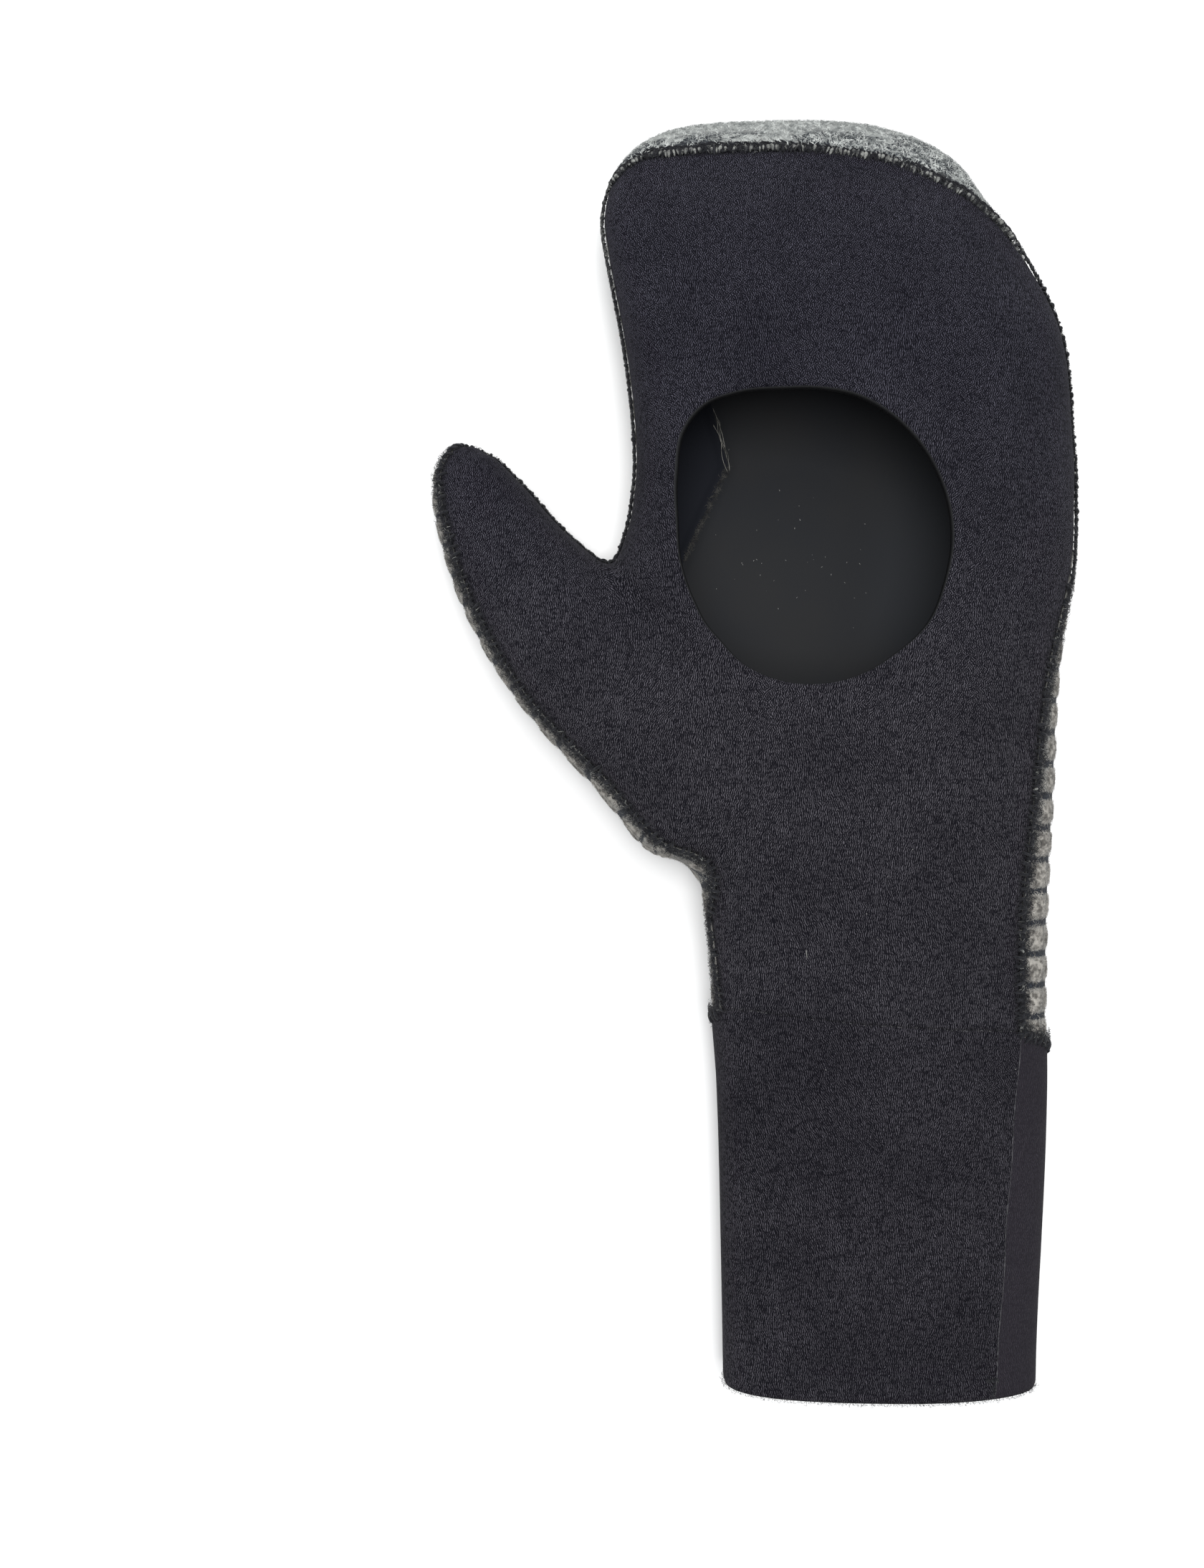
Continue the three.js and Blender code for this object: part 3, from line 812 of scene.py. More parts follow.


# %% [markdown]
# ## Putting a mesh into the scene
#
# Every piece of cloth and every set of threads goes in by one function, which fills the mesh
# from whole arrays, lets it ride on the mitt and hides the model's parts that it replaces. Lists
# of points and faces would do for a few pieces, but they are slow for half a million corners.

# %% Mesh helper
def add_mesh(name, shape, material, uv=None, replaces=(), inside=None):
    """A mesh object at the origin from a shape, which is points in hand millimetres and
    quads. inside is a second material and the number of the first face that has it."""
    mesh = bpy.data.meshes.new(name)
    points, faces = shape
    mesh.vertices.add(len(points))
    mesh.vertices.foreach_set("co", to_row(points).astype(np.float32).ravel())
    mesh.loops.add(faces.size)
    mesh.loops.foreach_set("vertex_index", faces.astype(np.int32).ravel())
    mesh.polygons.add(len(faces))
    mesh.polygons.foreach_set("loop_start", np.arange(len(faces), dtype=np.int32) * faces.shape[1])
    mesh.polygons.foreach_set("use_smooth", np.ones(len(faces), bool))
    if uv is not None:
        layer = mesh.uv_layers.new(name="cloth")
        layer.data.foreach_set("uv", (uv[faces.ravel()] / 1000).astype(np.float32).ravel())
    mesh.update(calc_edges=True)
    mesh.materials.append(material)
    if inside is not None:
        mesh.materials.append(inside[0])
        which = (np.arange(len(mesh.polygons)) >= inside[1]).astype(np.int32)
        mesh.polygons.foreach_set("material_index", which)
    obj = bpy.data.objects.new(name, mesh)
    bpy.context.collection.objects.link(obj)
    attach(obj, "root")
    if replaces:
        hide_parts(*replaces)
    print(name, len(points), "points", len(faces), "faces")


# %% [markdown]
# ## Coordinates along the cloth
#
# The fleece's squares are knitted in rows, so the pattern has to follow the cloth round the
# edge of the mitt. Seen from below the back is flat, and there x and y will do. Round the
# edge, the cloth is longer than its shadow: on an arc of radius r that has turned by an
# angle a, it is longer by r * (a - sin a), outwards.

# %% Cloth coordinates
def cloth_uv(points, normals, flat=-1.0):
    """x and y plus r * (a - sin a) in the direction in which the cloth turns away from
    flat: -1 where it lies flat below, 1 where it lies flat on top. The y share of that
    direction is cubed, so that rows stay level along the sides of the hand."""
    radius = (column(BODY, 3, points[:, 1]) - column(BODY, 4, points[:, 1])) * 0.5
    turn = np.arccos(np.clip(flat * normals[:, 2], -1, 1))
    out = unit(normals[:, :2])
    out[:, 1] = out[:, 1] ** 3
    out[:, 0] = np.sign(out[:, 0]) * np.sqrt(1 - out[:, 1] ** 2)
    return points[:, :2] + out * (radius * (turn - np.sin(turn)))[:, None]


PITCH = np.array([8.6, 8.4])
GROOVE = 0.5
SQUARE_ROUNDING = 1.89
PUFF = 0.35
TIP_SWELL = 1.3
SEAM_ROLL = 2.2
FLEECE_INSIDE = 2.3
LINING_OUTSIDE = 2.5
LINING_INSIDE = 4.4


def square_cover(uv):
    """1 on a raised square, 0 in the grooves between: the product over both directions of a
    smooth step of the distance from the groove's middle."""
    phase = np.abs((uv / PITCH) % 1.0 - 0.5) * PITCH
    away = PITCH / 2 - phase
    rows = smooth_step(np.clip((away - GROOVE) / SQUARE_ROUNDING, 0, 1))
    return rows[:, 0] * rows[:, 1]


# %% Fleece back
back_normal = corner_normals(back_points, back_faces)
back_uv = cloth_uv(back_points, back_normal)
to_palm = -palm_side(back_points)
to_wrist = wrist_side(back_points)
near_seam = np.clip(np.minimum(to_palm, to_wrist) / SEAM_ROLL, 0, 1)
under = np.clip(back_points[:, 2] / 3.0, 0, 1)
puff = square_cover(back_uv) * (0.25 + 0.75 * near_seam) * (0.25 + 0.75 * under)
plush = puff.copy()
puff *= 0.45 + 0.55 * np.abs(back_normal[:, 2])
near_tip = smooth_step(np.clip((back_points[:, 1] - 214.0) / 14.0, 0, 1))
puff += (0.8 - puff) * near_tip * near_seam * under
swell = TIP_SWELL * near_tip * near_seam
back_outer = back_points + back_normal * (PUFF * puff - 0.4 * near_seam - 0.3 + swell)[:, None]
back_outer[:, 2] = np.maximum(back_outer[:, 2], 0.0)
back_inner = back_points - back_normal * FLEECE_INSIDE
print("squares stand", round(float(PUFF * puff.max()), 2), "mm proud")


def fleece_paint():
    """Wool on the squares over a dark knitted ground. Noise moves the squares' edges. Near the
    fingertips the grooves close, and dark patches beside the seam show the knitted ground, partly as
    painted shade from the seam."""
    paint = Paint("fleece")
    spot = paint.cloth_place()
    place = paint.place()
    u, v, _ = paint.parts(spot)
    _, y, z = paint.parts(place)
    tip = y.within(136.0, 152.0)
    below = z.within(8.0, 3.0) * 0.7
    wander = paint.noise(place, 0.55, 3.0, 0.6) - 0.5
    fine_wander = paint.noise(paint.stretch(place, (0.9, 1.3, 1.1)), 1.6, 2.0, 0.6) - 0.5
    rows = []
    for value, pitch, closing in ((u, float(PITCH[0]), tip * 3.0), (v, float(PITCH[1]), tip * 2.0)):
        phase = ((value / pitch).math("FRACT") - 0.5).math("ABSOLUTE") * pitch
        away = (pitch / 2) - phase + closing - below
        rows.append((away + wander * 1.4 + fine_wander * 1.8).within(0.55, 1.35))
    faint = z.within(9.0, 15.0) * 0.65
    square = (rows[0] * (1.0 - faint) + faint) * rows[1]
    patches = paint.noise(paint.stretch(place, (0.10, 0.22, 0.22)), 1.0, 3.0, 0.6)
    # patches of knitted ground beside the fingertip seam, darkened partly as painted shade under the
    # seam's edge
    ground_and_seam_shade = patches.within(0.40, 0.48) * tip * y.within(168.0, 164.5)
    square = square * (1.0 - ground_and_seam_shade * 0.96)
    curls = paint.noise(place, 1.9, 4.0, 0.62, 2.6)
    strand = (curls - 0.5).math("ABSOLUTE").within(0.11, 0.0)
    fluff = paint.noise(place, 4.5, 3.0, 0.7)
    knit = paint.noise(place, 2.6, 1.0, 0.5)
    ground = paint.blend((0.006, 0.008, 0.013), (0.032, 0.038, 0.048), knit.within(0.4, 0.7))
    warm = paint.blend((0.150, 0.142, 0.128), (0.440, 0.420, 0.385), fluff.within(0.34, 0.60))
    cool = paint.blend((0.260, 0.280, 0.276), (0.500, 0.530, 0.520), fluff.within(0.36, 0.58))
    wool = paint.blend(warm, cool, y.within(90.0, 150.0))
    wool = paint.blend(wool, (0.58, 0.585, 0.56), strand * 0.65)
    colour = paint.blend(ground, wool, square)
    height = square * 0.6 + strand * square * 0.5 + fluff * 0.4
    return paint.finish(colour, 0.95, height, 0.0006, 0.7, Sheen_Weight=0.06,
                        Sheen_Roughness=0.6, Specular_IOR_Level=0.1)


add_mesh("fleece_shell", shell(back_outer, back_inner, back_faces), fleece_paint(),
         np.concatenate([back_uv, back_uv]), replaces=["back_fleece"])

# %% [markdown]
# ## Lining
#
# Through the palm hole one sees the inside of the back: a smooth, dull, nearly black
# lining. At the left an inner seam folds it into a V, and beyond that seam the cloth is
# the darker, bluish jersey of the thumb's gusset. The fold is pressed into the sheet, and
# the colour changes at the same line, which two half planes describe.

# %% Lining
FOLD = np.array([[-42.6, 167.0], [-38.0, 150.6], [-50.4, 124.0]])
FOLD_LINES = [(start, (end - start) / np.linalg.norm(end - start))
              for start, end in zip(FOLD[:-1], FOLD[1:])]


def fold_side(points):
    """Positive left of the V, in mm: the smaller of the distances to its two lines."""
    sides = []
    for start, way in FOLD_LINES:
        delta = points[:, :2] - start
        sides.append(delta[:, 0] * way[1] - delta[:, 1] * way[0])
    return np.minimum(sides[0], sides[1])


lining_top = back_points - back_normal * LINING_INSIDE
fold = fold_side(lining_top)
low = np.clip((16.0 - lining_top[:, 2]) / 4.0, 0, 1)
raise_by = low * (0.7 * np.exp(-(fold / 1.5) ** 2) + 1.2 * np.clip(fold / 2.5, 0, 1) ** 2)
lining_top[:, 2] += raise_by
print("inner fold from", FOLD[0].tolist(), "to", FOLD[2].tolist())


def lining_paint():
    """A smooth weave, painted paler under the hole's right side as painted light against the
    rim's shade, and the gusset's darker cloth where both lines of the V lie on the right."""
    paint = Paint("lining")
    spot = paint.place()
    x, y, _ = paint.parts(spot)
    weave = paint.noise(paint.stretch(spot, (4.0, 1.3, 3.0)), 1.0, 1.0)
    cloud = paint.noise(spot, 0.03, 2.0).within(0.3, 0.7) * 0.6 + weave * 0.4
    colour = paint.blend((0.0150, 0.0163, 0.0192), (0.0195, 0.0197, 0.0205), cloud)
    # painted light: paler towards the hole's right rim, against the shade that the rim casts there
    colour = paint.blend(colour, (0.034, 0.037, 0.042), x.within(28.0, 62.0) * 0.7)
    sides = []
    for start, way in FOLD_LINES:
        start_x, start_y = row_mm(*start)
        sides.append((x - start_x) * float(way[1]) - (y - start_y) * float(way[0]))
    gusset = sides[0].within(-0.3, 0.3) * sides[1].within(-0.3, 0.3)
    colour = paint.blend(colour, (0.0078, 0.0088, 0.0125), gusset)
    return paint.finish(colour, 0.8, weave, 0.00004, 0.35, Specular_IOR_Level=0.12)


lining_under = back_points - back_normal * LINING_OUTSIDE
add_mesh("lining_shell", shell(lining_under, lining_top, back_faces), lining_paint(),
         replaces=["back_lining"])

# %% [markdown]
# ## Black jersey
#
# Palm and cuff are foam-backed jersey with a crepe surface, a maze of thin pale ridges less
# than a millimetre apart on near black. A picture of the cloth would show its repeats, and
# the level lines of a plain noise close into little rings. A Gabor texture is a noise made
# of short stripes of one width that can wander or run straight, which is how such
# crepe grows: straight along the lower palm and the cuff, tangled near the fingers.

# %% Palm and cuff
def jersey_paint(name, light, dark, straight, beyond=None):
    """Crepe: ridges where a stripe noise is high. Its stripes lie 1 / (scale * frequency),
    about half a millimetre, apart, and wander more where the region mask is low; straight
    shifts that mask. beyond holds a line (x and its slope along y, hand mm) and the light
    and dark colours past it, where the cloth is smoother; those lighter colours are painted sheen."""
    paint = Paint(name)
    spot = paint.cloth_place()
    place = paint.place()
    x, y, _ = paint.parts(place)
    region = paint.noise(paint.stretch(place, (0.05, 0.03, 0.05)), 1.0, 2.0, 0.55)
    region = (region + (y * -0.0016) + straight).within(0.36, 0.62)
    swing = paint.noise(place, 0.03, 1.0) - 0.5
    shove = paint.node("ShaderNodeTexNoise", "Color", {"Vector": place, "Scale": 0.8, "Detail": 2.0})
    spot = paint.node("ShaderNodeVectorMath", "Vector", {0: shove, 1: (0.9, 0.9, 0.0), 2: spot},
                      operation="MULTIPLY_ADD")
    stripes = paint.node("ShaderNodeTexGabor", "Value", {
        "Vector": spot, "Scale": 0.72, "Frequency": 2.9, "Anisotropy": region * 0.50 + 0.33,
        "Orientation": swing * 1.4}, gabor_type="2D")
    ridge = stripes.within(0.49, 0.60)
    breaks = paint.noise(place, 1.7, 2.0, 0.6).within(0.34, 0.52)
    ridge = ridge * (breaks * 0.85 + 0.15)
    grain = paint.noise(place, 5.0, 2.0, 0.7).within(0.3, 0.75)
    cloud = paint.noise(place, 0.035, 3.0, 0.55).within(0.3, 0.75)
    if beyond:
        # past the cuff seam: weaker ridges for the smoother cloth, and lighter colours as painted
        # sheen
        middle, wrist = row_mm(beyond[0], 0.0)
        smooth = (x - (y - wrist) * beyond[1]).within(middle - 0.2, middle + 0.2)
        ridge = ridge * (1.0 - smooth * 0.45)
        light = paint.blend(light, beyond[2], smooth)
        dark = paint.blend(dark, beyond[3], smooth)
    else:
        upper = tuple(c * k for c, k in zip(light, (0.80, 0.82, 0.93)))
        light = paint.blend(light, upper, y.within(0.0, 110.0))
    colour = paint.blend(dark, light, ridge * 0.90 + grain * 0.08)
    colour = paint.blend(colour, dark, cloud * 0.30)
    height = ridge * 0.9 + grain * 0.2
    return paint.finish(colour, 0.88, height, 0.00014, 0.8, Sheen_Weight=0.02,
                        Sheen_Roughness=0.5, Specular_IOR_Level=0.04)


def foam_paint():
    """The cut edge and the inside of the jersey: fine closed cells, dull black."""
    paint = Paint("foam")
    cells = paint.noise(paint.place(), 6.0, 2.0, 0.6).within(0.3, 0.7)
    colour = paint.blend((0.0130, 0.0135, 0.0150), (0.0260, 0.0265, 0.0280), cells)
    return paint.finish(colour, 0.8, cells, 0.00004, 0.4, Specular_IOR_Level=0.2)


JERSEY_THICK = 2.6


def jersey_shell(name, points, faces, dips, material, node):
    """A jersey piece as a shell. Each dip is a seam's rule, a depth and a reach in mm: beside
    the seam the cloth goes in by depth * exp(-(distance / reach) ** 2)."""
    normals = corner_normals(points, faces)
    outer = points
    for rule, depth, reach in dips:
        outer = outer - normals * (depth * np.exp(-(rule(points) / reach) ** 2))[:, None]
    uv = cloth_uv(points, normals, 1.0)
    add_mesh(name, shell(outer, points - normals * JERSEY_THICK, faces), material,
             np.concatenate([uv, uv]), replaces=[node], inside=(FOAM, len(faces)))


JERSEY = jersey_paint("jersey", (0.090, 0.086, 0.099), (0.0022, 0.0021, 0.0042), 0.10)
CUFF_LINE = (37.8, 0.064)
# the last two colours, past CUFF_LINE, are lighter: painted sheen on the smoother strip
CUFF_JERSEY = jersey_paint("cuff_jersey", (0.078, 0.074, 0.087), (0.0022, 0.0021, 0.0040), 0.02,
                           (*CUFF_LINE, (0.058, 0.053, 0.065), (0.0150, 0.0134, 0.0175)))
FOAM = foam_paint()
jersey_shell("palm_shell", palm_points, palm_faces,
             [(palm_side, 0.7, 1.6), (wrist_side, 0.45, 0.9), (hole_side, 0.25, 0.7)],
             JERSEY, "palm_panel")
jersey_shell("cuff_shell", cuff_points, cuff_faces,
             [(wrist_side, 0.45, 0.9), (rim_side, 0.4, 0.8)],
             CUFF_JERSEY, "cuff")

# %% [markdown]
# ## Lines to sew along
#
# Every seam starts from the open edge of a cloth piece. The edge's points are put in order
# by jumping: if each point knows the next one, then it also knows the one after the next,
# and so on, so a few doublings give the whole ring without a loop over points.

# %% Ordered edges and even steps
def rings(faces, count):
    """The open edges of a set of faces as lists of point numbers in order."""
    a, b = open_edges(faces, count)
    following = np.arange(count)
    following[a] = b
    left = set(a.tolist())
    found = []
    while left:
        start = min(left)
        order = np.array([start])
        jump = following.copy()
        while len(order) < count and start not in order[1:]:
            order = np.concatenate([order, jump[order]])
            jump = jump[jump]
        again = np.flatnonzero(order[1:] == start)
        order = order[:again[0] + 1] if len(again) else np.unique(order)
        found.append(order)
        left -= set(order.tolist())
    return sorted([ring for ring in found if len(ring) > 20], key=len, reverse=True)


def even_path(points, step):
    """The closed path smoothed a little and cut into even steps of about step mm."""
    path = np.concatenate([points, points[:1]])
    for _ in range(4):
        inner = (path[:-2] + 2 * path[1:-1] + path[2:]) / 4
        path = np.concatenate([path[:1], inner, path[-1:]])
    length = np.concatenate([[0], np.cumsum(np.linalg.norm(np.diff(path, axis=0), axis=1))])
    at = np.linspace(0, length[-1], max(int(length[-1] / step), 2) + 1)
    return np.stack([np.interp(at, length, path[:, c]) for c in range(3)], 1)[:-1]


def seam_frame(path):
    """Along, outward and sideways unit vectors at each point of a closed path on the cloth."""
    along = unit(np.roll(path, -1, axis=0) - np.roll(path, 1, axis=0))
    out = outward(path)
    return along, out, unit(np.cross(out, along))


back_ring = rings(back_faces, len(back_points))[0]
cuff_rings = rings(cuff_faces, len(cuff_points))
print("points in the rings:", len(back_ring), [len(ring) for ring in cuff_rings])


# %% [markdown]
# ## Threads
#
# A thread is a small tube carried along a path. All threads of one kind are computed at
# once, as an array of paths, so a thousand stitches cost no more lines than one.

# %% Tubes and ribbons
def tubes(paths, radius, sides):
    """Closed tubes round paths of shape (n, m, 3): each ring is path + radius * (cos u * a +
    sin u * b), with a and b across the path, and the radius runs to nothing at both ends."""
    n, m, _ = paths.shape
    along = unit(np.gradient(paths, axis=1))
    helper = np.where(np.abs(along[..., 2:]) > 0.9, [1.0, 0.0, 0.0], [0.0, 0.0, 1.0])
    a = unit(np.cross(along, helper))
    b = np.cross(along, a)
    turn = np.arange(sides) * 2 * np.pi / sides
    radius = np.broadcast_to(radius, (n, m)).copy()
    radius[:, 0] *= 0.05
    radius[:, -1] *= 0.05
    ring = (np.cos(turn)[:, None] * a[..., None, :] + np.sin(turn)[:, None] * b[..., None, :])
    points = paths[..., None, :] + ring * radius[..., None, None]
    number = np.arange(n * m * sides).reshape(n, m, sides)
    here, there = number[:, :-1], number[:, 1:]
    faces = np.stack([here, np.roll(here, -1, axis=2), np.roll(there, -1, axis=2), there], -1)
    return points.reshape(-1, 3), faces.reshape(-1, 4)


def ribbons(paths, facing, width):
    """Flat strips along paths of shape (n, m, 3), turned to the facing vectors and
    narrower towards both ends."""
    n, m, _ = paths.shape
    along = unit(np.gradient(paths, axis=1))
    side = unit(np.cross(facing, along))
    taper = (0.25 + 0.75 * np.sin(np.linspace(0.12, np.pi - 0.12, m)))[None, :, None]
    half = side * taper * width / 2
    points = np.stack([paths - half, paths + half], 2)
    number = np.arange(n * m * 2).reshape(n, m, 2)
    faces = np.stack([number[:, :-1, 0], number[:, :-1, 1], number[:, 1:, 1], number[:, 1:, 0]], -1)
    return points.reshape(-1, 3), faces.reshape(-1, 4)


def joined(parts):
    """Several (points, faces) pairs as one."""
    shift = np.cumsum([0] + [len(points) for points, _ in parts[:-1]])
    return (np.concatenate([points for points, _ in parts]),
            np.concatenate([faces + s for (_, faces), s in zip(parts, shift)]))


def plain_paint(name, light, dark, scale):
    """A thread or fibre colour that varies from place to place."""
    paint = Paint(name)
    mix = paint.noise(paint.place(), scale, 2.0, 0.6).within(0.3, 0.7)
    return paint.finish(paint.blend(dark, light, mix), 0.9, Sheen_Weight=0.1,
                        Specular_IOR_Level=0.2)


BLACK_THREAD = plain_paint("black_thread", (0.0180, 0.0188, 0.0230), (0.0030, 0.0033, 0.0048), 1.2)
GREY_THREAD = plain_paint("grey_tuft", (0.26, 0.265, 0.25), (0.030, 0.032, 0.034), 0.7)

# %% [markdown]
# ## The overlocked seam round the fleece
#
# The fleece is overlocked to the palm and the cuff: black thread loops over the edge every
# two millimetres, a chain of thread runs beside them, and tufts of grey fleece poke out
# between the loops. The loops are short arcs across the seam, the chain is two
# strands wound round each other, and the tufts are small tapered tubes.

# %% Overlock stitches
luck = np.random.default_rng(5)
STITCH = 2.25
FINE_STEP = 0.45


def near_fingertips(points):
    """0 on the sides of the hand, 1 along the fingertips."""
    return np.clip((points[:, 1] - 195.0) / 15.0, 0, 1)


seam_path = even_path(back_points[back_ring], STITCH)
along, out, side = seam_frame(seam_path)
at_wrist = wrist_side(seam_path) < 0.8
palmward = np.sign(palm_side(seam_path + side) - palm_side(seam_path - side))
side = side * np.sign(palmward[~at_wrist].sum())
count = len(seam_path)
at_tip = near_fingertips(seam_path)
tip = at_tip[:, None]
messy = 1 - tip
print("stitches:", count, "of them at the wrist:", int(at_wrist.sum()))


def wobble(low, high):
    """A random number between low and high for each stitch."""
    return luck.uniform(low, high, (count, 1))


def over_seam(middle, start, reach, height, lean, steps=7):
    """Arcs across the seam: from start mm on the fleece to reach mm on the jersey, standing
    height * sin(t) above it and leaning lean mm along it."""
    t = np.linspace(0, 1, steps)[None, :, None]
    across = start[:, None] + (reach - start)[:, None] * t
    spots = middle[:, None] + side[:, None] * across + along[:, None] * (lean[:, None] * (t - 0.5))
    flat = spots.reshape(-1, 3)
    for _ in range(4):
        flat = flat - outward(flat) * np.clip(on_field(flat), -2, 2)[:, None]
    up = height[:, None] * np.sin(np.pi * (0.1 + 0.8 * t)) - 0.2
    lifted = flat + outward(flat) * up.reshape(-1, 1)
    lifted[:, 2] = np.maximum(lifted[:, 2], 0.3)
    return lifted.reshape(count, steps, 3)


shuffled = seam_path + along * wobble(-0.6, 0.6) * messy
loops = over_seam(shuffled, -wobble(0.6, 1.5) - wobble(0.2, 0.9) * tip,
                  wobble(1.6, 3.2) - 0.4 * tip, wobble(0.4, 0.8) + 0.2 * messy,
                  wobble(-0.5, 0.5) + wobble(-1.4, 1.4) * messy)
bars = over_seam(seam_path + along * wobble(-1, 1), -wobble(0.5, 1.6), wobble(0.8, 2.6),
                 wobble(0.35, 0.8), wobble(-2.4, -0.6))
fine = even_path(back_points[back_ring], FINE_STEP)
f_along, f_out, f_side = seam_frame(fine)
f_side = f_side * np.sign((side[:1] * seam_frame(seam_path)[2][:1]).sum())
phase = np.arange(len(fine))[:, None] * FINE_STEP / STITCH * np.pi
fine_tip = near_fingertips(fine)[:, None]
strands = []
for k in (0, 1):
    turn = phase + k * np.pi
    drift = 0.35 * np.sin(phase / 3.7) + 0.25 * np.sin(phase / 1.9 + 1.0)
    wave = (fine + f_side * (0.42 * np.sin(turn) + (drift - 0.9) * fine_tip)
            + f_out * (0.25 + 0.2 * np.cos(turn) + 0.25 * fine_tip))
    wave[:, 2] = np.maximum(wave[:, 2], 0.35)
    strands.append(tubes(np.concatenate([wave, wave[:1]])[None], 0.27, 6))
loop_size = wobble(0.22, 0.38) + 0.06 * messy
bar_size = wobble(0.16, 0.34)
add_mesh("overlock_thread", joined([tubes(loops, loop_size, 6), tubes(bars, bar_size, 5), *strands]),
         BLACK_THREAD)

tufts = []
for place in (0.30, 0.72):
    present = luck.random(count) < 0.10 + 0.68 * at_tip
    size = wobble(0.20, 0.50) * (1 + 0.30 * tip)
    arcs = over_seam(seam_path + along * STITCH * place, -wobble(0.1, 0.6),
                     wobble(0.3, 1.5) + 0.7 * tip, wobble(0.2, 0.6) + 0.30 * tip,
                     wobble(-0.8, 0.8) + wobble(-1.5, 1.5) * messy)
    tufts.append(tubes(arcs[present], size[present] * np.sin(np.linspace(0.45, 2.8, 7)), 7))
add_mesh("overlock_tufts", joined(tufts), GREY_THREAD)

# %% [markdown]
# ## Fuzz
#
# Up close, fleece is a tangle of curly fibres that bridge the grooves and soften the
# outline. A hair system would be slow and is lost in an export, so each fibre is a ribbon of
# four quads on a small arc, rooted at random on the fleece, more on its visible sides than
# under the mitt.

# %% Fleece fibres
def scatter(points, faces, weight, count, seed):
    """Random points on faces, picked by area times weight: bilinear mixes of their four
    corners."""
    pick = np.random.default_rng(seed)
    a, b, c, d = (points[faces[:, i]] for i in range(4))
    area = np.linalg.norm(np.cross(c - a, d - b), axis=1) * weight
    face = pick.choice(len(faces), count, p=area / area.sum())
    u, v = pick.random((2, count, 1))
    return (a[face] * (1 - u) * (1 - v) + b[face] * u * (1 - v) + c[face] * u * v
            + d[face] * (1 - u) * v), face


def fibres(roots, normals, length, rise, curl, width, seed, steps=5):
    """Ribbons that start at roots, run length mm along the cloth, rise in an arc and swing
    sideways by curl * sin."""
    pick = np.random.default_rng(seed)
    n = len(roots)
    guess = pick.normal(size=(n, 3))
    way = unit(guess - normals * (guess * normals).sum(1, keepdims=True))
    side = np.cross(normals, way)
    t = np.linspace(0, 1, steps)[None, :, None]
    size = pick.uniform(0.6, 1.3, (n, 1, 1))
    swing = pick.uniform(-1, 1, (n, 1, 1)) * curl
    start = pick.uniform(0, 6.28, (n, 1, 1))
    paths = (roots[:, None] + way[:, None] * (length * size * (t - 0.3))
             + side[:, None] * (swing * np.sin(start + 4.2 * t))
             + normals[:, None] * (rise * size * 4 * t * (1 - t) - 0.1))
    paths[..., 2] = np.maximum(paths[..., 2], 0.05)
    return ribbons(paths, np.repeat(normals[:, None], steps, 1), width)


def fibre_paint():
    """Wool fibres, warm towards the wrist and cooler at the fingertips like the squares."""
    paint = Paint("fleece_fibre")
    _, y, _ = paint.parts(paint.place())
    mix = paint.noise(paint.place(), 0.6, 2.0, 0.6).within(0.35, 0.65)
    warm = paint.blend((0.135, 0.127, 0.115), (0.490, 0.468, 0.430), mix)
    cool = paint.blend((0.190, 0.205, 0.204), (0.620, 0.645, 0.625), mix)
    return paint.finish(paint.blend(warm, cool, y.within(90.0, 150.0)), 0.9, Sheen_Weight=0.1,
                        Specular_IOR_Level=0.2)


FIBRE = fibre_paint()
FIBRES_A_PIECE = 23500
outer_normal = corner_normals(back_outer, back_faces)
face_mid = back_outer[back_faces].mean(1)
face_plush = plush[back_faces].mean(1)
face_near = near_seam[back_faces].mean(1)
seen = np.clip(face_mid[:, 2] / 4.0, 0, 1) + np.clip(face_mid[:, 2] / 12.0 - 0.5, 0, 1)
face_tip = near_tip[back_faces].mean(1)
face_gap = to_palm[back_faces].mean(1)
weight = seen * (0.02 + face_plush ** 3) * (0.3 + 0.7 * face_near)
weight += (0.22 * seen - weight) * face_tip
weight *= 1 - 0.8 * face_tip * np.clip(1 - face_gap / 7.0, 0, 1)
for part in range(3):
    roots, face = scatter(back_outer, back_faces, weight, FIBRES_A_PIECE, 20 + part)
    normals = unit(outer_normal[back_faces[face]].mean(1))
    add_mesh(f"fleece_fuzz_{part + 1}", fibres(roots, normals, 1.9, 0.42, 0.5, 0.11, 40 + part),
             FIBRE)

# %% [markdown]
# The cut edges of both cloths fray along the overlocked seam. Short fibres, most of them
# black and some grey, are rooted beside the seam's line.

# %% Frayed edges along the seam
def frayed(name, material, count, spread, length, seed):
    """Fibres rooted within about spread mm of the seam's line, at random along it."""
    pick = np.random.default_rng(seed)
    number = pick.integers(0, len(fine), count)
    shift = pick.normal(-0.5, spread, (count, 1)) + 0.5 * fine_tip[number]
    roots = fine[number] + f_side[number] * shift
    roots = roots + f_along[number] * pick.uniform(-0.3, 0.3, (count, 1))
    roots = roots - outward(roots) * (np.clip(on_field(roots), -2, 2) - 0.3)[:, None]
    add_mesh(name, fibres(roots, outward(roots), length, 0.55, 0.5, 0.13, seed + 1), material)


frayed("seam_fray_dark", BLACK_THREAD, 17000, 1.1, 1.8, 70)
frayed("seam_fray_pale", GREY_THREAD, 900, 0.8, 1.5, 72)

# %% [markdown]
# ## Small sewing on the cuff and the palm
#
# The cuff is a tube closed by one seam, which shows as a fine pale line on the palm side with
# a bar tack at its foot. The seam at the wrist is a fine line as well. The cut rim of the
# cuff sheds short fibres.

# %% Cuff seam, wrist seam and rim
def on_cloth(flat, up):
    """Points of the palm side above the flat positions, up mm over the cloth."""
    spots = np.concatenate([flat, np.full((len(flat), 1), 40.0)], 1)
    for _ in range(14):
        spots[:, 2] -= np.maximum(on_field(spots) - up, -2.0) * 0.9
    return spots


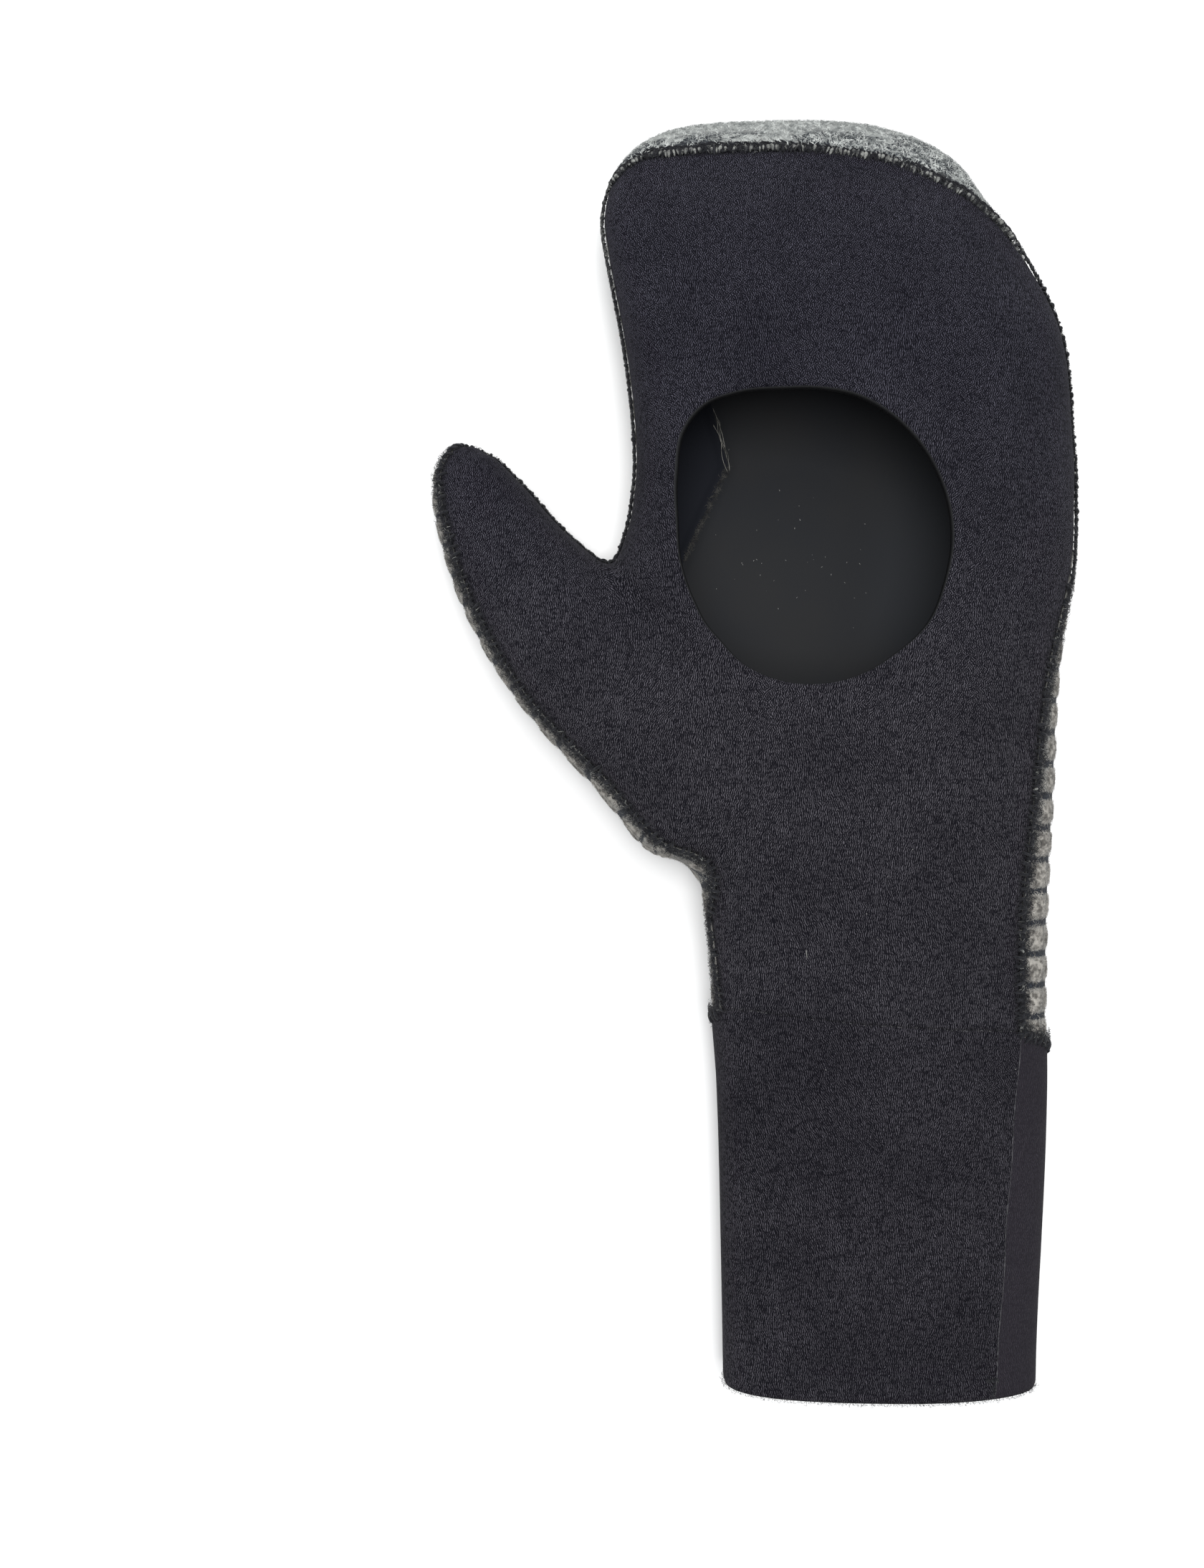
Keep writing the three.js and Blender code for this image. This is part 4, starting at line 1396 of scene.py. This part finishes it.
cuff_y = np.linspace(-3.5, -101.2, 90)
cuff_line = np.stack([CUFF_LINE[0] + CUFF_LINE[1] * cuff_y + 0.2 * np.sin(np.linspace(0, 21, 90)),
                      cuff_y], 1)
line = on_cloth(cuff_line, -0.02)
shade = luck.uniform(0.25, 1.0, 90)
PALE_THREAD = plain_paint("pale_thread", (0.10, 0.10, 0.105), (0.022, 0.022, 0.025), 0.6)
tack = on_cloth(np.stack([np.linspace(28.6, 32.6, 12),
                          -96.5 + 0.5 * np.sin(np.linspace(0, 19, 12))], 1), 0.15)
tack_b = on_cloth(np.stack([30.9 + 0.5 * np.sin(np.linspace(0, 16, 12)),
                            np.linspace(-97.5, -101.6, 12)], 1), 0.2)
add_mesh("cuff_seam", tubes(line[None], 0.15 * shade, 6), PALE_THREAD)
add_mesh("bar_tack", joined([tubes(tack[None], 0.32, 6), tubes(tack_b[None], 0.34, 6)]),
         BLACK_THREAD)

wrist_x = np.linspace(-43.0, 45.0, 150)
wrist_y = column(WRIST, 1, wrist_x)
wrist_line = on_cloth(np.stack([wrist_x, wrist_y], 1), -0.28)
dash = (luck.random(149) < 0.3 + 0.25 * np.sin(wrist_x[1:] / 9.0))
dash &= np.abs(wrist_line[1:, 2] - wrist_line[:-1, 2]) < 1.0
pieces = np.stack([wrist_line[:-1][dash], (wrist_line[:-1] + wrist_line[1:])[dash] / 2,
                   wrist_line[1:][dash]], 1)
pieces += luck.normal(0, 0.12, pieces.shape)
add_mesh("wrist_stitches", tubes(pieces, 0.15, 5), PALE_THREAD)

rim_ring = min(cuff_rings, key=lambda ring: cuff_points[ring, 1].mean())
rim = even_path(cuff_points[rim_ring], 0.16)
roots = rim + luck.normal(0, 0.35, rim.shape)
roots[:, 1] = -CUFF_LENGTH + luck.uniform(-0.1, 0.5, len(rim))
normals = unit(outward(rim) * 0.4 + np.array([0, -1.0, 0]) + luck.normal(0, 0.5, rim.shape))
points, faces = fibres(roots, normals, 1.0, 0.45, 0.3, 0.10, 61)
points[:, 2] = np.maximum(points[:, 2], 0.05)
add_mesh("rim_fuzz", (points, faces), BLACK_THREAD)

# %% [markdown]
# The inner seam at the left of the hole was left untrimmed: a few pale threads hang loose on
# its upper part, and short grey fibres stand along the lower part. Lint, little pale
# ribbons of random length, lies here and there on the lining and on the jersey.

# %% Loose threads and lint
lining_up = back_normal[:, 2] < -0.5


def on_lining(flat, up):
    """Points up mm over the lining's upper side at flat positions, at the height of the
    nearest point of its mesh."""
    spots = lining_top[lining_up]
    spots = spots[np.hypot(*(spots[:, :2] - flat.mean(0)).T) < 60]
    square = ((flat[:, None, :] - spots[None, :, :2]) ** 2).sum(2)
    return np.concatenate([flat, spots[square.argmin(1), 2:] + up], 1)


def along_fold(start, end, count):
    """Even steps from one corner of the V to another."""
    return start + (end - start) * np.linspace(0, 1, count)[:, None]


def upward(roots):
    """A normal straight up for each root."""
    return np.tile([0.0, 0.0, 1.0], (len(roots), 1))


threads = []
for k in range(4):
    first, last = luck.uniform(0, 0.25), luck.uniform(0.7, 1.12)
    ends = [FOLD[0] + (FOLD[1] - FOLD[0]) * s for s in (first, last)]
    bend = np.linspace(0, np.pi, 24)[:, None] * luck.uniform(1, 3, (1, 2)) + luck.uniform(0, 6, (1, 2))
    flat = along_fold(*ends, 24) + luck.uniform(-0.5, 0.5, 2) + 0.5 * np.sin(bend)
    path = on_lining(flat, 0.35 + 0.25 * k / 4)
    threads.append(tubes(path[None], luck.uniform(0.05, 0.09), 5))
LOOSE_THREAD = plain_paint("loose_thread", (0.34, 0.33, 0.30), (0.05, 0.05, 0.047), 0.3)
add_mesh("loose_threads", joined(threads), LOOSE_THREAD)

low_branch = along_fold(FOLD[1], FOLD[2], 300) + luck.normal(0, 0.35, (300, 2))
roots = on_lining(low_branch, 0.15)
FOLD_FUZZ = plain_paint("fold_fuzz", (0.060, 0.058, 0.053), (0.014, 0.014, 0.015), 0.5)
add_mesh("fold_fuzz", fibres(roots, upward(roots), 1.4, 0.3, 0.4, 0.09, 81), FOLD_FUZZ)

spread = HOLE_CENTRE + luck.normal(0, 15.0, (46, 2))
spread = spread[hole_side(np.c_[spread, np.full(len(spread), 40.0)]) < -4.0]
specks = on_lining(spread, 0.06)
on_palm = on_cloth(luck.uniform((-35.0, -90.0), (38.0, 80.0), (26, 2)), 0.04)
roots = np.concatenate([specks, on_palm])
flecks = fibres(roots, upward(roots), 0.55, 0.06, 0.12, 0.11, 83)
hair = on_cloth(np.stack([np.linspace(-20.3, -20.0, 6), np.linspace(19.2, 16.7, 6)], 1), 0.12)
LINT = plain_paint("lint", (0.30, 0.30, 0.285), (0.07, 0.07, 0.07), 0.3)
add_mesh("lint", joined([flecks, tubes(hair[None], 0.14, 5)]), LINT)

# %% [markdown]
# ## Floor and light
#
# The pair was photographed on white under broad, even light from above and from beyond the
# fingertips, so the palm hole is darkest under its upper edge. A large lamp high over the
# mitt, a weaker one beyond the fingertips and a pale world do that.

# %% Floor, world and lamps
floor_mesh = bpy.data.meshes.new("floor")
floor_mesh.from_pydata([(-4, -4, 0), (4, -4, 0), (4, 4, 0), (-4, 4, 0)], [], [(0, 1, 2, 3)])
floor = bpy.data.objects.new("floor", floor_mesh)
bpy.context.collection.objects.link(floor)
floor_mesh.materials.append(Paint("floor").finish((0.9, 0.9, 0.9), 0.9))

world = bpy.data.worlds.new("world")
bpy.context.scene.world = world
world.use_nodes = True
sky = world.node_tree.nodes["Background"]
sky.inputs["Color"].default_value = (0.97, 0.985, 1.0, 1.0)
sky.inputs["Strength"].default_value = 0.38


def area_lamp(name, place, target, size, power):
    """A square lamp at place, turned towards target, all in hand millimetres."""
    data = bpy.data.lights.new(name, "AREA")
    data.shape = "SQUARE"
    data.size = size
    data.energy = power
    lamp = bpy.data.objects.new(name, data)
    lamp.location = to_row(place)
    way = Vector(to_row(target)) - lamp.location
    lamp.rotation_euler = way.to_track_quat("-Z", "Y").to_euler()
    bpy.context.collection.objects.link(lamp)


area_lamp("key", (60.0, 800.0, 900.0), (0.0, 80.0, 0.0), 0.6, 4.0)
area_lamp("overhead", (-150.0, 90.0, 1280.0), (0.0, 60.0, 0.0), 0.9, 17.0)
bpy.context.scene.view_settings.view_transform = "Standard"
